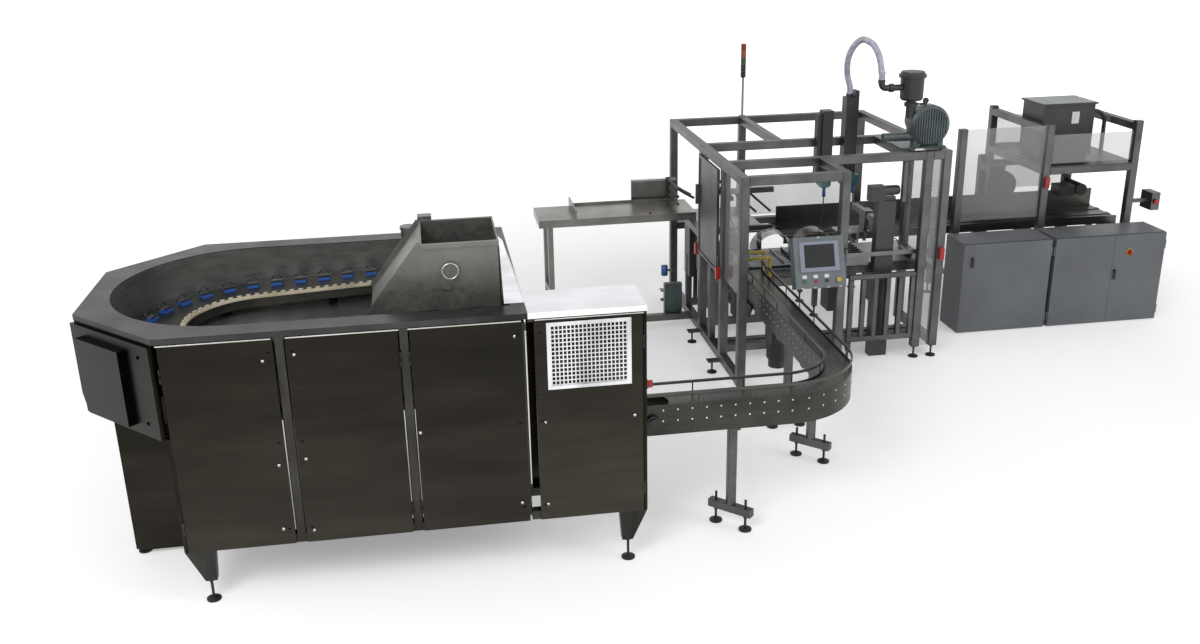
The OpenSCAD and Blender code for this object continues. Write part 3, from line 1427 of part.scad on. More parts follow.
// Inlet filter: a canister with a clamped lid, its neck down to the blower and the elbow
canister_x = blower_x - blower_r * 0.95;
canister_y = blower_y + blower_d / 2;
canister_z = blower_z + blower_r * 1.25;
elbow_x = canister_x - canister_r * 2.55;
elbow_z = canister_z + canister_h * 0.45;
elbow_r = 1.6 * hose_r;

module filter_canister() {
    r = canister_r;
    color("#3d4042") on_line() {
        translate([canister_x, canister_y, canister_z]) rotate_extrude() polygon([
            [0, 0], [r * 0.8, 0], [r * 0.9, r * 0.15], [r * 0.93, canister_h * 0.78], [r * 1.08, canister_h * 0.8],
            [r * 1.08, canister_h * 0.9], [r * 0.95, canister_h * 0.94], [r * 0.9, canister_h], [0, canister_h]
        ]);
        difference() {
            rod_z(blower_z + blower_r * 0.4, canister_z + overrun, canister_x, canister_y, hose_r * 1.4);
            rod_y(blower_y - overrun, blower_y + blower_d + overrun, blower_x, blower_z, blower_r + seat);
        }
        rod_z(blower_z + blower_r * 0.95, blower_z + blower_r * 1.12, canister_x, canister_y, hose_r * 2);
        rod_x(elbow_x + elbow_r, canister_x, canister_y, elbow_z, hose_r * 0.95);
        rod_x(elbow_x + elbow_r + hose_r, elbow_x + elbow_r + 2.2 * hose_r, canister_y, elbow_z, hose_r * 1.3);
        translate([elbow_x + elbow_r, canister_y, elbow_z + elbow_r]) rotate([90, 0, 0])
            rotate([0, 0, 180]) rotate_extrude(angle = 90) translate([elbow_r, 0]) circle(hose_r * 0.95);
        rod_z(elbow_z + elbow_r, elbow_z + elbow_r + hose_r, elbow_x, canister_y, hose_r * 1.1);
        rod_x(canister_x, canister_x + r * 1.2, canister_y, blower_z + blower_r * 1.03, hose_r * 0.3);
        rod_y(canister_y - hose_r * 0.6, canister_y, canister_x + r * 1.2, blower_z + blower_r * 1.03 + hose_r, hose_r * 0.9);
        rod_z(blower_z + blower_r * 1.03 - hose_r * 0.3, blower_z + blower_r * 1.03 + hose_r, canister_x + r * 1.2,
            canister_y - hose_r * 0.3, hose_r * 0.25);
    }
}

// The two black axis housings hung on the magazine rail, one with the hose socket on top
hose_col_x = lift_x - lift_w * 0.95;
hose_col_y = magazine_y - half_tube - seat;
hose_x = hose_col_x - hose_r * 0.8;
hose_y = hose_col_y - 2.2 * hose_r;

module hose_column() {
    d = 4 * hose_r;
    low = frame_h * 0.78;
    color("#1a1a1b") on_line() {
        block([hose_x - 1.5 * hose_r, hose_col_y - d, low], [hose_x + 1.5 * hose_r, hose_col_y, hose_column_h - hose_r]);
        rod_z(hose_column_h - 2 * hose_r, hose_column_h, hose_x, hose_y, hose_r * 1.15);
        block([hose_x + 1.5 * hose_r + seat, hose_col_y - d * 0.9, low + d],
            [hose_x + 2.8 * hose_r, hose_col_y, hose_column_h + hose_r]);
        block([hose_x - 9 * hose_r, hose_col_y - d, low], [hose_x - 5.5 * hose_r, hose_col_y, hose_column_h - 5 * hose_r]);
        block([hose_x - 10.4 * hose_r, hose_col_y - d * 0.8, low + d],
            [hose_x - 9 * hose_r - seat, hose_col_y, hose_column_h - 6 * hose_r]);
    }
}

// The ribbed vacuum hose: its route leaves the socket upwards, loops over and comes down
// on the filter's elbow. Each place is a share of the way to the elbow and of the rise.
hose_route_shares = [
    [0, 0, 0], [0, 0, 0.1], [-0.7, 0.06, 0.36], [-1.05, 0.18, 0.64], [-0.8, 0.34, 0.87], [-0.05, 0.5, 1],
    [0.65, 0.68, 0.93], [0.98, 0.84, 0.74], [1.03, 0.96, 0.5], [1, 1, 0.34], [1, 1, 0.3]
];
function hose_point(i) =
    let (s = hose_route_shares[min(max(i, 0), len(hose_route_shares) - 1)])
    [
        hose_x + s[0] * (s[0] < 0 ? 2.2 * hose_r : elbow_x - hose_x),
        hose_y + s[1] * (canister_y - hose_y),
        s[2] < 0.3 || s[1] == 1 ? hose_end_z(s) : hose_column_h + s[2] * (hose_top - hose_r - hose_column_h)
    ];
function hose_end_z(s) =
    s[1] == 1 ? elbow_z + elbow_r + hose_r + (s[2] > 0.3 ? 2 * hose_r : seat) : hose_column_h + (s[2] > 0 ? 2 * hose_r : seat);

// A smooth curve through the route's points, with t from 0 to its last index
function hose_at(t) =
    let (i = min(floor(t), len(hose_route_shares) - 2), u = t - i,
        a = hose_point(i - 1), b = hose_point(i), c = hose_point(i + 1), d = hose_point(i + 2))
    b + u / 2 * ((c - a) + u * ((2 * a - 5 * b + 4 * c - d) + u * (3 * b - a - 3 * c + d)));

// A ring of eight points of radius r square to the curve at t
function hose_ring(t, r) =
    let (e = 1 / 64, n = len(hose_route_shares) - 1,
        dir = hose_at(min(t + e, n)) - hose_at(max(t - e, 0)), w = dir / norm(dir),
        side = cross(w, heading([hose_x, hose_y, 0], [elbow_x, canister_y, 0])), v = side / norm(side),
        up = cross(w, v))
    [for (k = [0 : 7]) hose_at(t) + r * (v * cos(45 * k) + up * sin(45 * k))];

// Outer rings step out and in again for every rib, and plain rings line the bore
module vacuum_hose() {
    n = len(hose_route_shares) - 1;
    m = 2 * hose_rib_n;
    outer = [for (i = [0 : m]) hose_ring(i * n / m, i % 2 == 0 ? hose_r * 0.93 : hose_r)];
    k = 40;
    inner = [for (i = [0 : k]) hose_ring(n - i * n / k, hose_bore_r)];
    rings = concat(outer, inner);
    count = len(rings);
    points = [for (ring = rings, p = ring) p];
    faces = [
        for (i = [0 : count - 1], j = [0 : 7])
            let (a = i * 8, b = wrap(i + 1, count) * 8, j1 = wrap(j + 1, 8))
            each [[a + j, a + j1, b + j1], [a + j, b + j1, b + j]]
    ];
    color("#b9b6c6", 0.8) on_line() polyhedron(points, faces);
}

// Operator panel
panel_y = bay_y - half_tube - hmi_d * cos(hmi_tilt) - hmi_h * sin(hmi_tilt) - 2 * pin_r;
pivot_r = 4 * pin_r;
pivot_x = bay_x + half_tube * 0.4;
pivot_y = bay_y - half_tube - 1.5 * pivot_r;
pivot_z = hmi_low + hmi_h * 0.45;
button_z = hmi_h * 0.14;
button_shares = [0.18, 0.4, 0.62, 0.85];

module on_panel() {
    translate([hmi_x, panel_y, hmi_low]) rotate([-hmi_tilt, 0, 0]) children();
}

module operator_panel() {
    ring = button_r * 1.35;
    arm = pivot_r * 0.9;
    color("#aeb8c6") on_line() {
        difference() {
            union() {
                on_panel() {
                    block([0, 0, 0], [hmi_w, hmi_d, hmi_h]);
                    for (s = button_shares)
                        rod_y(-button_travel, overrun, hmi_w * s, button_z, ring);
                    block([hmi_w * 0.1, -button_travel, hmi_h * 0.31], [hmi_w * 0.9, overrun, hmi_h * 0.92]);
                }
                rod_z(pivot_z - hinge_l / 2 + seat, pivot_z + hinge_l / 2 - seat, pivot_x, pivot_y, pivot_r);
                block([hmi_x + hmi_w * 0.55, pivot_y - arm, pivot_z - arm], [pivot_x, pivot_y - arm * 0.2, pivot_z + arm]);
                block([hmi_x + hmi_w * 0.55, pivot_y - hmi_d * 1.2, pivot_z - arm],
                    [hmi_x + hmi_w * 0.75, pivot_y - arm * 0.2, pivot_z + arm]);
            }
            on_panel() {
                for (s = button_shares)
                    rod_y(-2 * button_travel, 3 * button_travel, hmi_w * s, button_z, button_r + seat);
                block([hmi_w * 0.2, -2 * button_travel, hmi_h * 0.4], [hmi_w * 0.8, -button_travel / 2, hmi_h * 0.85]);
            }
            rod_z(pivot_z - hinge_l, pivot_z + hinge_l, pivot_x, pivot_y, pin_r * 2 + running);
        }
    }
}

// A push button in place k of the row, with its head r wide
module panel_button(k, r) {
    on_line() on_panel() {
        rod_y(-2.4 * button_travel, button_travel, hmi_w * button_shares[k], button_z, button_r);
        if (r > button_r) rod_y(-4 * button_travel, -2.3 * button_travel, hmi_w * button_shares[k], button_z, r);
    }
}

module start_button() {
    color("forestgreen") panel_button(0, button_r);
}

module stop_button() {
    color("firebrick") panel_button(1, button_r);
}

module reset_button() {
    color("#222222") panel_button(2, button_r);
}

module panel_estop() {
    color("goldenrod") panel_button(3, button_r * 1.5);
}

// Electrical cabinets
cab_room_y = cabinet_y + cab_door_t + seat;
cab_z0 = 2 * sheet_t;
cab_hinge_y = cab_door_t / 2;
cab_split = cabinet_x2 + cabinet_r_w * cab_split_share;

// A cabinet shell open to the front, with the fixed hinge halves on the sides in sides
module cabinet_shell(x0, x1, sides) {
    t = sheet_t;
    difference() {
        block([x0, cab_room_y, 0], [x1, cabinet_y + cabinet_d, cabinet_h]);
        block([x0 + t, cab_room_y - overrun, t], [x1 - t, cabinet_y + cabinet_d - t, cabinet_h - t]);
    }
    for (s = sides, z = hinge_z(0, cabinet_h))
        translate([s > 0 ? x1 : x0, cabinet_y + cab_hinge_y, z]) {
            translate([s * hinge_off, 0, 0]) hinge_fixed(cab_hinge_y + 4 * knuckle_r);
            for (k = [0, 2 * hinge_l / 3])
                mirror([s < 0 ? 1 : 0, 0, 0])
                    block([-t / 2, cab_hinge_y + knuckle_r / 2, k], [hinge_off, cab_hinge_y + 4 * knuckle_r, k + hinge_l / 3]);
        }
}

// A cabinet door from x0 to x1, hinged on side s
module cabinet_door(x0, x1, s) {
    translate([0, cabinet_y, 0]) difference() {
        block([x0, 0, cab_z0], [x1, cab_door_t, cabinet_h - cab_z0]);
        block([x0 + 4 * sheet_t, sheet_t, cab_z0 + 4 * sheet_t],
            [x1 - 4 * sheet_t, cab_door_t + overrun, cabinet_h - cab_z0 - 4 * sheet_t]);
    }
    for (z = hinge_z(0, cabinet_h))
        translate([(s > 0 ? x1 + seat : x0 - seat) + s * hinge_off, cabinet_y + cab_hinge_y, z])
            hinge_moving(hinge_off + seat, -s);
}

// A cabinet handle: a grip that turns on a boss in front of its door
module cabinet_handle(x, z) {
    w = 4 * knuckle_r;
    color("#151516") on_line() {
        rod_y(cabinet_y - 1.6 * knuckle_r, cabinet_y - seat, x, z, w / 2);
        block([x - w / 3, cabinet_y - 3.2 * knuckle_r, z - 3.2 * w], [x + w / 3, cabinet_y - 1.5 * knuckle_r, z + w / 3]);
    }
}

module cabinet_left_handle() {
    cabinet_handle(cabinet_x + cabinet_l_w * 0.1, cabinet_h * 0.84);
}

module cabinet_right_handle() {
    cabinet_handle(cab_split + 4 * knuckle_r, cabinet_h * 0.6);
}

module cabinet_left() {
    color("#6d7277") on_line() cabinet_shell(cabinet_x, cabinet_x1, [1]);
}

module cabinet_left_door() {
    color("#767b80") on_line() {
        cabinet_door(cabinet_x + seat, cabinet_x1 - seat, 1);
    }
}

module cabinet_right() {
    color("#6d7277") on_line() cabinet_shell(cabinet_x2, cabinet_x3, [-1, 1]);
}

module cabinet_right_door_l() {
    color("#767b80") on_line() cabinet_door(cabinet_x2 + seat, cab_split - sheet_t / 2, -1);
}

module cabinet_right_door_r() {
    color("#767b80") on_line() {
        cabinet_door(cab_split + sheet_t / 2, cabinet_x3 - seat, 1);
        rod_y(cabinet_y - knuckle_r, cabinet_y + sheet_t / 2, switch_x, switch_z, switch_r * 1.35);
    }
}

switch_r = 3.6 * knuckle_r;
switch_x = cab_split + (cabinet_x3 - cab_split) * 0.3;
switch_z = cabinet_h * 0.8;

// The main disconnect's turning grip
module disconnect_knob() {
    y = cabinet_y - knuckle_r;
    color("red") on_line() {
        rod_y(y - 2 * knuckle_r, y - seat, switch_x, switch_z, switch_r);
        block([switch_x - switch_r * 0.28, y - 4.5 * knuckle_r, switch_z - switch_r * 1.2],
            [switch_x + switch_r * 0.28, y - 2 * knuckle_r + seat, switch_z + switch_r]);
    }
}

// Sealer frame
sealer_h = frame_h - half_tube;
case_rail_z = case_bed_h - 3 * half_tube - seat;
function sealer_posts() = [for (s = sealer_shares) sealer_x + s * sealer_l];

// Posts, rails, the transformer shelf, cabinet brackets and the emergency stop box
module sealer_frame() {
    t = half_tube + seat;
    px = sealer_posts();
    mid = px[1];
    right = px[2];
    top = sealer_h - half_tube * 1.6;
    color("#605e5c") on_line() {
        for (x = px) bar_z(foot_h, sealer_h, x, sealer_y);
        for (x = [mid, right]) {
            bar_z(foot_h, sealer_h, x, sealer_y1);
            for (z = [top, shelf_h - half_tube, case_rail_z, foot_h + half_tube])
                bar_y(sealer_y + t, sealer_y1 - t, x, z);
        }
        for (y = [sealer_y, sealer_y1], z = [shelf_h - half_tube, foot_h + half_tube])
            bar_x(mid + t, right - t, y, z);
        bar_x(px[0] + t, mid - t, sealer_y, foot_h + half_tube);
        block([mid + t, sealer_y - half_tube, shelf_h + seat], [right - t, sealer_y1 + half_tube, shelf_h + plate_t / 2]);
        rod_x(mid + t, right - t, sealer_y1, shelf_h * 0.86, half_tube);
        for (x = px) block([x - half_tube, cabinet_y + cabinet_d + seat, cabinet_h * 0.8],
            [x + half_tube, sealer_y - t, cabinet_h * 0.8 + plate_t]);
        bar_x(right + t, estop_x0() + seat, sealer_y, estop_z0() + estop_s, half_tube);
        difference() {
            block([estop_x0(), estop_y0(), estop_z0()],
                [estop_x0() + estop_s, estop_y0() + 2.1 * estop_s, estop_z0() + 2 * estop_s]);
            rod_y(estop_y0() - overrun, estop_y0() + estop_s, estop_x0() + estop_s / 2, estop_z0() + estop_s,
                button_r + seat);
        }
    }
}

function estop_x0() = sealer_x1 + half_tube + estop_arm;
function estop_y0() = sealer_y - estop_s;
function estop_z0() = cabinet_h * 1.1;

module line_estop() {
    x = estop_x0() + estop_s / 2;
    z = estop_z0() + estop_s;
    y = estop_y0();
    color("crimson") on_line() {
        rod_y(y - 2 * button_travel, y + 2 * button_travel, x, z, button_r);
        rod_y(y - 5 * button_travel, y - 1.8 * button_travel, x, z, button_r * 2.1);
    }
}

// The dry-type transformer on the shelf, with its lid and conduit
module transformer() {
    x0 = sealer_posts()[1] + half_tube * 1.7;
    y0 = sealer_y + sealer_d * 0.22;
    z0 = shelf_h + plate_t / 2;
    x1 = x0 + trafo_w;
    z1 = z0 + trafo_h;
    r = 6 * pin_r;
    bend = 6 * r;
    reach = sealer_posts()[2] - half_tube - x1 - bend - 2 * r;
    color("#4c5351") on_line() {
        difference() {
            block([x0, y0, z0], [x1, y0 + trafo_d, z1]);
            for (x = [x0 - overrun, x1 - half_tube])
                block([x, y0 - overrun, z0 - overrun], [x + half_tube + overrun, y0 + trafo_d + overrun, z0 + half_tube]);
        }
        block([x0 - half_tube / 2, y0 - half_tube / 2, z1 + seat],
            [x1 + half_tube / 2, y0 + trafo_d + half_tube / 2, z1 + plate_t * 1.5]);
        translate([x1, y0 + trafo_d / 2, z1 - trafo_h * 0.2]) {
            rod_x(seat, reach, 0, 0, r);
            translate([reach, 0, -bend]) rotate([90, 0, 0]) rotate_extrude(angle = 90) translate([bend, 0]) circle(r);
            rod_z(shelf_h + plate_t - z1 + trafo_h * 0.2, -bend, reach + bend, 0, r);
        }
    }
}

// Case conveyor: two side channels, a slider bed with belts, a rear fence and legs
case_side_share = 0.322;
case_y0 = sealer_y + case_side_share * (sealer_d - case_bed_w);
case_x0 = mid_x + 3 * tube_s;
case_x1 = sealer_posts()[2] + half_tube;
function case_legs() = [
    for (s = [0.1, 0.5, 0.92], y = [case_y0 + leg_half, case_y0 + case_bed_w - leg_half])
        [case_x0 + (case_x1 - case_x0) * s, y]
];
leg_half = tube_s * 0.35;
case_guide_z = case_bed_h + 4.8 * half_tube;

module case_conveyor() {
    c = 2 * half_tube;
    y1 = case_y0 + case_bed_w;
    z = case_bed_h;
    color("#8b8683") on_line() {
        for (y = [case_y0, y1 - side_t]) block([case_x0, y, z - c], [case_x1, y + side_t, z + side_t]);
        block([case_x0, case_y0 + side_t + seat, z - 3 * side_t], [case_x1, y1 - side_t - seat, z - side_t]);
        for (s = [0.3, 0.7])
            block([case_x0, case_y0 + case_bed_w * s - half_tube, z - side_t + seat],
                [case_x1, case_y0 + case_bed_w * s + half_tube, z]);
        block([case_x0 + c, y1 + seat, z - side_t], [case_x1, y1 + side_t, case_guide_z]);
        for (p = case_legs()) bar_z(foot_h, z - c - seat, p.x, p.y, 2 * leg_half);
        for (i = [0 : 2 : 4])
            bar_y(case_legs()[i].y + leg_half + seat, case_legs()[i + 1].y - leg_half - seat,
                case_legs()[i].x, z * 0.4, tube_s * 0.6);
    }
}

// The case closer: an upright on the rear fence, the tape head and the side drive
head_post_x = sealer_posts()[1] - 3.8 * tube_s;
reel_x = sealer_posts()[1] - half_tube - 2 * running - reel_r;
reel_z = case_bed_h + 2.2 * reel_r;
reel_y = case_y0 + case_bed_w * 0.55;

module sealer_head() {
    y = case_y0 + case_bed_w + side_t + half_tube + seat;
    z0 = case_bed_h;
    dx = sealer_posts()[2] - 3.4 * tube_s;
    hub = knuckle_r * 2;
    color("#26272a") on_line() {
        bar_z(foot_h, z0 + 4 * reel_r, head_post_x, y);
        bar_y(reel_y + reel_r * 0.5, y - half_tube + overrun, head_post_x, z0 + 3.3 * reel_r, tube_s);
        block([head_post_x - half_tube, reel_y + rail_s, reel_z - reel_r], [reel_x + half_tube, reel_y + reel_r * 0.5 + seat, z0 + 3.3 * reel_r + half_tube]);
        rod_y(reel_y - rail_s * 1.5, reel_y + rail_s + overrun, reel_x, reel_z, hub);
        rod_y(reel_y - rail_s * 2, reel_y - rail_s * 1.2, reel_x, reel_z, hub * 1.6);
        bar_z(foot_h, z0 + 2.2 * reel_r, dx, y);
        rod_y(y - reel_r * 2.2, y - half_tube, dx, case_guide_z + seat + reel_r * 0.42, reel_r * 0.42);
        block([dx - reel_r * 1.6, y - reel_r * 2.1, case_guide_z + seat],
            [dx - reel_r * 0.4, y - reel_r * 0.9, z0 + reel_r * 1.9]);
        rod_x(dx - reel_r * 0.4 - overrun, dx - reel_r * 0.3, y - reel_r * 1.5, z0 + reel_r * 1.4, reel_r * 0.3);
    }
}

// The tape reel on its spindle
module tape_reel() {
    hub = knuckle_r * 2;
    color("#1c1c1e") on_line() translate([reel_x, reel_y, reel_z]) rotate([90, 0, 0]) difference() {
        rotate_extrude() polygon([
            [0, -rail_s + seat], [reel_r, -rail_s + seat], [reel_r, -rail_s * 0.8], [reel_r * 0.94, -rail_s * 0.8],
            [reel_r * 0.94, rail_s * 0.8], [reel_r, rail_s * 0.8], [reel_r, rail_s - seat], [0, rail_s - seat]
        ]);
        cylinder(h = 4 * rail_s, r = hub + running, center = true);
    }
}

feeder_frame();
feeder_rim();
feeder_bowl();
feeder_panels();
tower_deck();
drive_grille();
carousel_track();
carousel_pucks();
toothed_rail();
hopper();
hopper_gearmotor();
discharge_cover();
feeder_door_1();
feeder_door_2();
feeder_door_3();
feeder_door_4();
selector_knob();
levelling_feet();
conveyor_plates();
conveyor_chain();
guide_rails();
entry_arches();
conveyor_legs();
conveyor_motor();
drive_hub();
packer_frame();
guard_panels();
guard_door();
interlock_switches();
machine_bed();
bottle_lanes();
lift_column();
lift_carriage();
pick_head();
case_magazine();
magazine_pusher();
signal_tower();
blower();
filter_canister();
vacuum_hose();
hose_column();
operator_panel();
start_button();
stop_button();
reset_button();
panel_estop();
cabinet_left();
cabinet_left_door();
cabinet_right();
cabinet_right_door_l();
cabinet_right_door_r();
cabinet_left_handle();
cabinet_right_handle();
disconnect_knob();
sealer_frame();
transformer();
case_conveyor();
sealer_head();
tape_reel();
line_estop();
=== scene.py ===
"""Looks of the bottle case packing line: finishes, ribbed hose, panel face, small fittings, light and
camera."""
import math

import bpy
import numpy as np
from mathutils import Matrix, Vector


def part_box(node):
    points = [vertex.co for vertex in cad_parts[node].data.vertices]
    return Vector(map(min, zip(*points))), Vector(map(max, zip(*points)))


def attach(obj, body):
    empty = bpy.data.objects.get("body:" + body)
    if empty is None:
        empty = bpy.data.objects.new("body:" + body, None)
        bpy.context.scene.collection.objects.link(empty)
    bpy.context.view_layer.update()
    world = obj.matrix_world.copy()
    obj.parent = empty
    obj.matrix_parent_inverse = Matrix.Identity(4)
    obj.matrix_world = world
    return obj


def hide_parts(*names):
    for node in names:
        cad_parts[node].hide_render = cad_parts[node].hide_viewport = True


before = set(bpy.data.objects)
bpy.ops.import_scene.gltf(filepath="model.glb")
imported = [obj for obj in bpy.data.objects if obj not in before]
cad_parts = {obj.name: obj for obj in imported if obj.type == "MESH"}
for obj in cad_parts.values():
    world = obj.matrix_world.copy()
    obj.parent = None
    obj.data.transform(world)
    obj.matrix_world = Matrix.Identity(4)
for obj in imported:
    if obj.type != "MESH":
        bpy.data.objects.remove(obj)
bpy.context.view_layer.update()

MM = 0.001
# The feeder's front left corner, from which the line's own millimetres are counted
CORNER = np.array([-4242.8005, -2653.0, 0.0])


def line_point(x, y, z):
    """Places in the line's own mm, one or an array of them, in the frame's metres."""
    return (np.stack(np.broadcast_arrays(x, y, z), -1) + CORNER) * MM


def line_box(node):
    """The lowest and highest corner of a CAD node, in the line's own mm."""
    return (np.array(corner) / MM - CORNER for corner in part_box(node))


def aim_camera():
    """Yaw turns the view from +Y to +X, pitch tips it down and roll turns it about its own axis. The
    camera's columns are its right, its up and its back."""
    focal_px, width_px, sensor_mm, place = 1160.534, 1200, 36, (1624, -6576, 4124)
    yaw, pitch, roll = (math.radians(a) for a in (8.663, 20.052, -1.1279))
    ahead = Vector((math.sin(yaw) * math.cos(pitch), math.cos(yaw) * math.cos(pitch), -math.sin(pitch)))
    right = Vector((math.cos(yaw), -math.sin(yaw), 0))
    up = right.cross(ahead)
    side = right * math.cos(roll) + up * math.sin(roll)
    top = up * math.cos(roll) - right * math.sin(roll)
    data = bpy.data.cameras.new("camera")
    data.sensor_width = sensor_mm
    data.lens = focal_px / width_px * sensor_mm
    data.clip_end = 100
    camera = bpy.data.objects.new("camera", data)
    bpy.context.scene.collection.objects.link(camera)
    turn = Matrix((side, top, -ahead)).transposed().to_4x4()
    camera.matrix_world = Matrix.Translation(Vector(line_point(*place))) @ turn
    bpy.context.scene.camera = camera


# Colours and shader nodes
def linear(code):
    """sRGB hex to linear colour: c / 12.92 up to 0.04045, else ((c + 0.055) / 1.055) ^ 2.4."""
    srgb = np.array([int(code[i:i + 2], 16) / 255 for i in (1, 3, 5)])
    value = np.where(srgb <= 0.04045, srgb / 12.92, ((srgb + 0.055) / 1.055) ** 2.4)
    return (*value.tolist(), 1.0)


def add(tree, kind, values=None, links=None, out=0, **settings):
    """Adds a node of that kind with its settings, socket values and links, and gives one of its outputs."""
    item = tree.nodes.new(kind)
    for name, value in settings.items():
        setattr(item, name, value)
    for socket, value in (values or {}).items():
        item.inputs[socket].default_value = value
    for socket, source in (links or {}).items():
        tree.links.new(source, item.inputs[socket])
    return item.outputs[out]


def noise(tree, place, sizes_mm, detail=2.0):
    """Noise whose spots are sizes_mm long along X, Y and Z, from 0 to 1 about 0.5."""
    spread = add(tree, "ShaderNodeMapping", {"Scale": [1 / (s * MM) for s in sizes_mm]}, {"Vector": place})
    return add(tree, "ShaderNodeTexNoise", {"Scale": 1.0, "Detail": detail, "Roughness": 0.55},
               {"Vector": spread})


def between(tree, factor, low, high, start=0.3, end=0.7):
    """A number that runs from low to high while the factor runs from start to end."""
    values = {"From Min": start, "From Max": end, "To Min": low, "To Max": high}
    return add(tree, "ShaderNodeMapRange", values, {"Value": factor})


def tones(tree, factor, stops, interpolation="LINEAR"):
    """A colour ramp over the factor, from (place, sRGB hex) stops."""
    item = tree.nodes.new("ShaderNodeValToRGB")
    item.color_ramp.interpolation = interpolation
    while len(item.color_ramp.elements) < len(stops):
        item.color_ramp.elements.new(0.5)
    for element, (place, code) in zip(item.color_ramp.elements, stops):
        element.position = place
        element.color = linear(code)
    tree.links.new(factor, item.inputs["Fac"])
    return item.outputs["Color"]


def mixed(tree, first, second, share):
    """first + share x second, for two number sockets."""
    part = add(tree, "ShaderNodeMath", {1: share}, {0: second}, operation="MULTIPLY")
    return add(tree, "ShaderNodeMath", {}, {0: first, 1: part}, operation="ADD")


def material_of(name, metallic=0.0, **sockets):
    """A new material: its node tree, its shader, and Object coordinates."""
    material = bpy.data.materials.new(name)
    material.use_nodes = True
    tree = material.node_tree
    shader = tree.nodes["Principled BSDF"]
    shader.inputs["Metallic"].default_value = metallic
    for socket, value in sockets.items():
        shader.inputs[socket.replace("_", " ")].default_value = value
    return material, tree, shader, add(tree, "ShaderNodeTexCoord", out="Object")


def relief(tree, shader, height, depth_mm, strength=0.5):
    """Bump of that depth from a height between 0 and 1."""
    values = {"Strength": strength, "Distance": depth_mm * MM}
    normal = add(tree, "ShaderNodeBump", values, {"Height": height})
    tree.links.new(normal, shader.inputs["Normal"])


def sheet_metal(name, stops, grain_mm, rough=(0.25, 0.4), cloud_mm=(380, 380, 380), relief_mm=0.04,
                grain_share=0.35, metallic=1.0):
    """Sheet that was rolled and brushed: wide clouds of handling and polish move its tone through the stops,
    and long streaks of grain change its tone, gloss and relief a little. On the drive's grille the clouds are
    drawn tall and stand for painted reflection."""
    material, tree, shader, place = material_of(name, metallic=metallic)
    cloud = noise(tree, place, cloud_mm, 3)
    grain = noise(tree, place, grain_mm, 3)
    tone = mixed(tree, cloud, grain, grain_share)
    # The middle of the two noises' sum, and how far to either side of it the stops reach
    middle, reach = 0.5 + grain_share / 2, 0.24
    tone = between(tree, tone, 0, 1, middle - reach, middle + reach)
    tree.links.new(tones(tree, tone, stops), shader.inputs["Base Color"])
    tree.links.new(between(tree, grain, *rough), shader.inputs["Roughness"])
    relief(tree, shader, grain, relief_mm)
    return material


def coated(name, stops, rough=0.45, spot_mm=6, relief_mm=0.1, cloud_mm=220, **sockets):
    """Powder coat, paint or moulded plastic: a relief of small spots as in orange peel, and a faint change
    of tone and gloss over the surface."""
    material, tree, shader, place = material_of(name, **sockets)
    cloud = noise(tree, place, (cloud_mm,) * 3, 3)
    spots = noise(tree, place, (spot_mm,) * 3)
    tree.links.new(tones(tree, between(tree, cloud, 0, 1), stops), shader.inputs["Base Color"])
    tree.links.new(between(tree, spots, rough - 0.06, rough + 0.08), shader.inputs["Roughness"])
    relief(tree, shader, spots, relief_mm)
    return material


def linished(name, gain=0.0):
    """Stainless linished along X under a fine level grain, its tone painted with reflections: nearly black
    and warm for a dark room, wide level bands of painted reflection, and paler and browner towards the floor
    as a painted reflection of the floor. A gain makes the whole sheet paler."""
    material, tree, shader, place = material_of(name, metallic=1.0)
    height = add(tree, "ShaderNodeSeparateXYZ", {}, {"Vector": place}, out=2)
    # Bands of painted reflection, about 1.3 m long and 300 mm high, and the polishing belt's grain, drawn 9
    # mm high to show
    painted_reflection_band = noise(tree, place, (1300, 900, 300), 2)
    grain = noise(tree, place, (420, 420, 9), 3)
    # From just under the doors to just over them, in metres, the tone falls by 0.4: painted reflection of the
    # floor, paler low down
    foot, head = 0.35, 1.75
    floor_reflection_fall = between(tree, height, 0.3 + gain, gain - 0.1, foot, head)
    tone = mixed(tree, mixed(tree, floor_reflection_fall, painted_reflection_band, 0.55), grain, 0.2)
    # Near-black warm stops: painted reflection of a dark room
    stops = [(0.0, "#191714"), (0.3, "#26241f"), (0.55, "#35322d"), (0.8, "#47443e"), (1.0, "#5d5a53")]
    tree.links.new(tones(tree, between(tree, tone, 0, 1, 0.05, 1.1), stops), shader.inputs["Base Color"])
    tree.links.new(between(tree, grain, 0.24, 0.36), shader.inputs["Roughness"])
    relief(tree, shader, grain, 0.04)
    return material


# The signal tower: where its bands start, and the height of one
LAMP_LOW, LAMP_H = 2296, 68


def lamp_colours():
    """Signal tower: the colour changes with height, lamp by lamp, from the pole up to the cap."""
    material, tree, shader, place = material_of("lamp_plastic", Roughness=0.22)
    bands = ["#8f9090", "#17171a", "#1b2233", "#1f4a2a", "#8a4a1a", "#7e1a14", "#141416"]
    height = add(tree, "ShaderNodeSeparateXYZ", {}, {"Vector": place}, out=2)
    share = between(tree, height, 0, 1, LAMP_LOW * MM, (LAMP_LOW + len(bands) * LAMP_H) * MM)
    stops = [(k / len(bands), code) for k, code in enumerate(bands)]
    tree.links.new(tones(tree, share, stops, "CONSTANT"), shader.inputs["Base Color"])
    relief(tree, shader, noise(tree, place, (5, 5, 5)), 0.05)
    return material


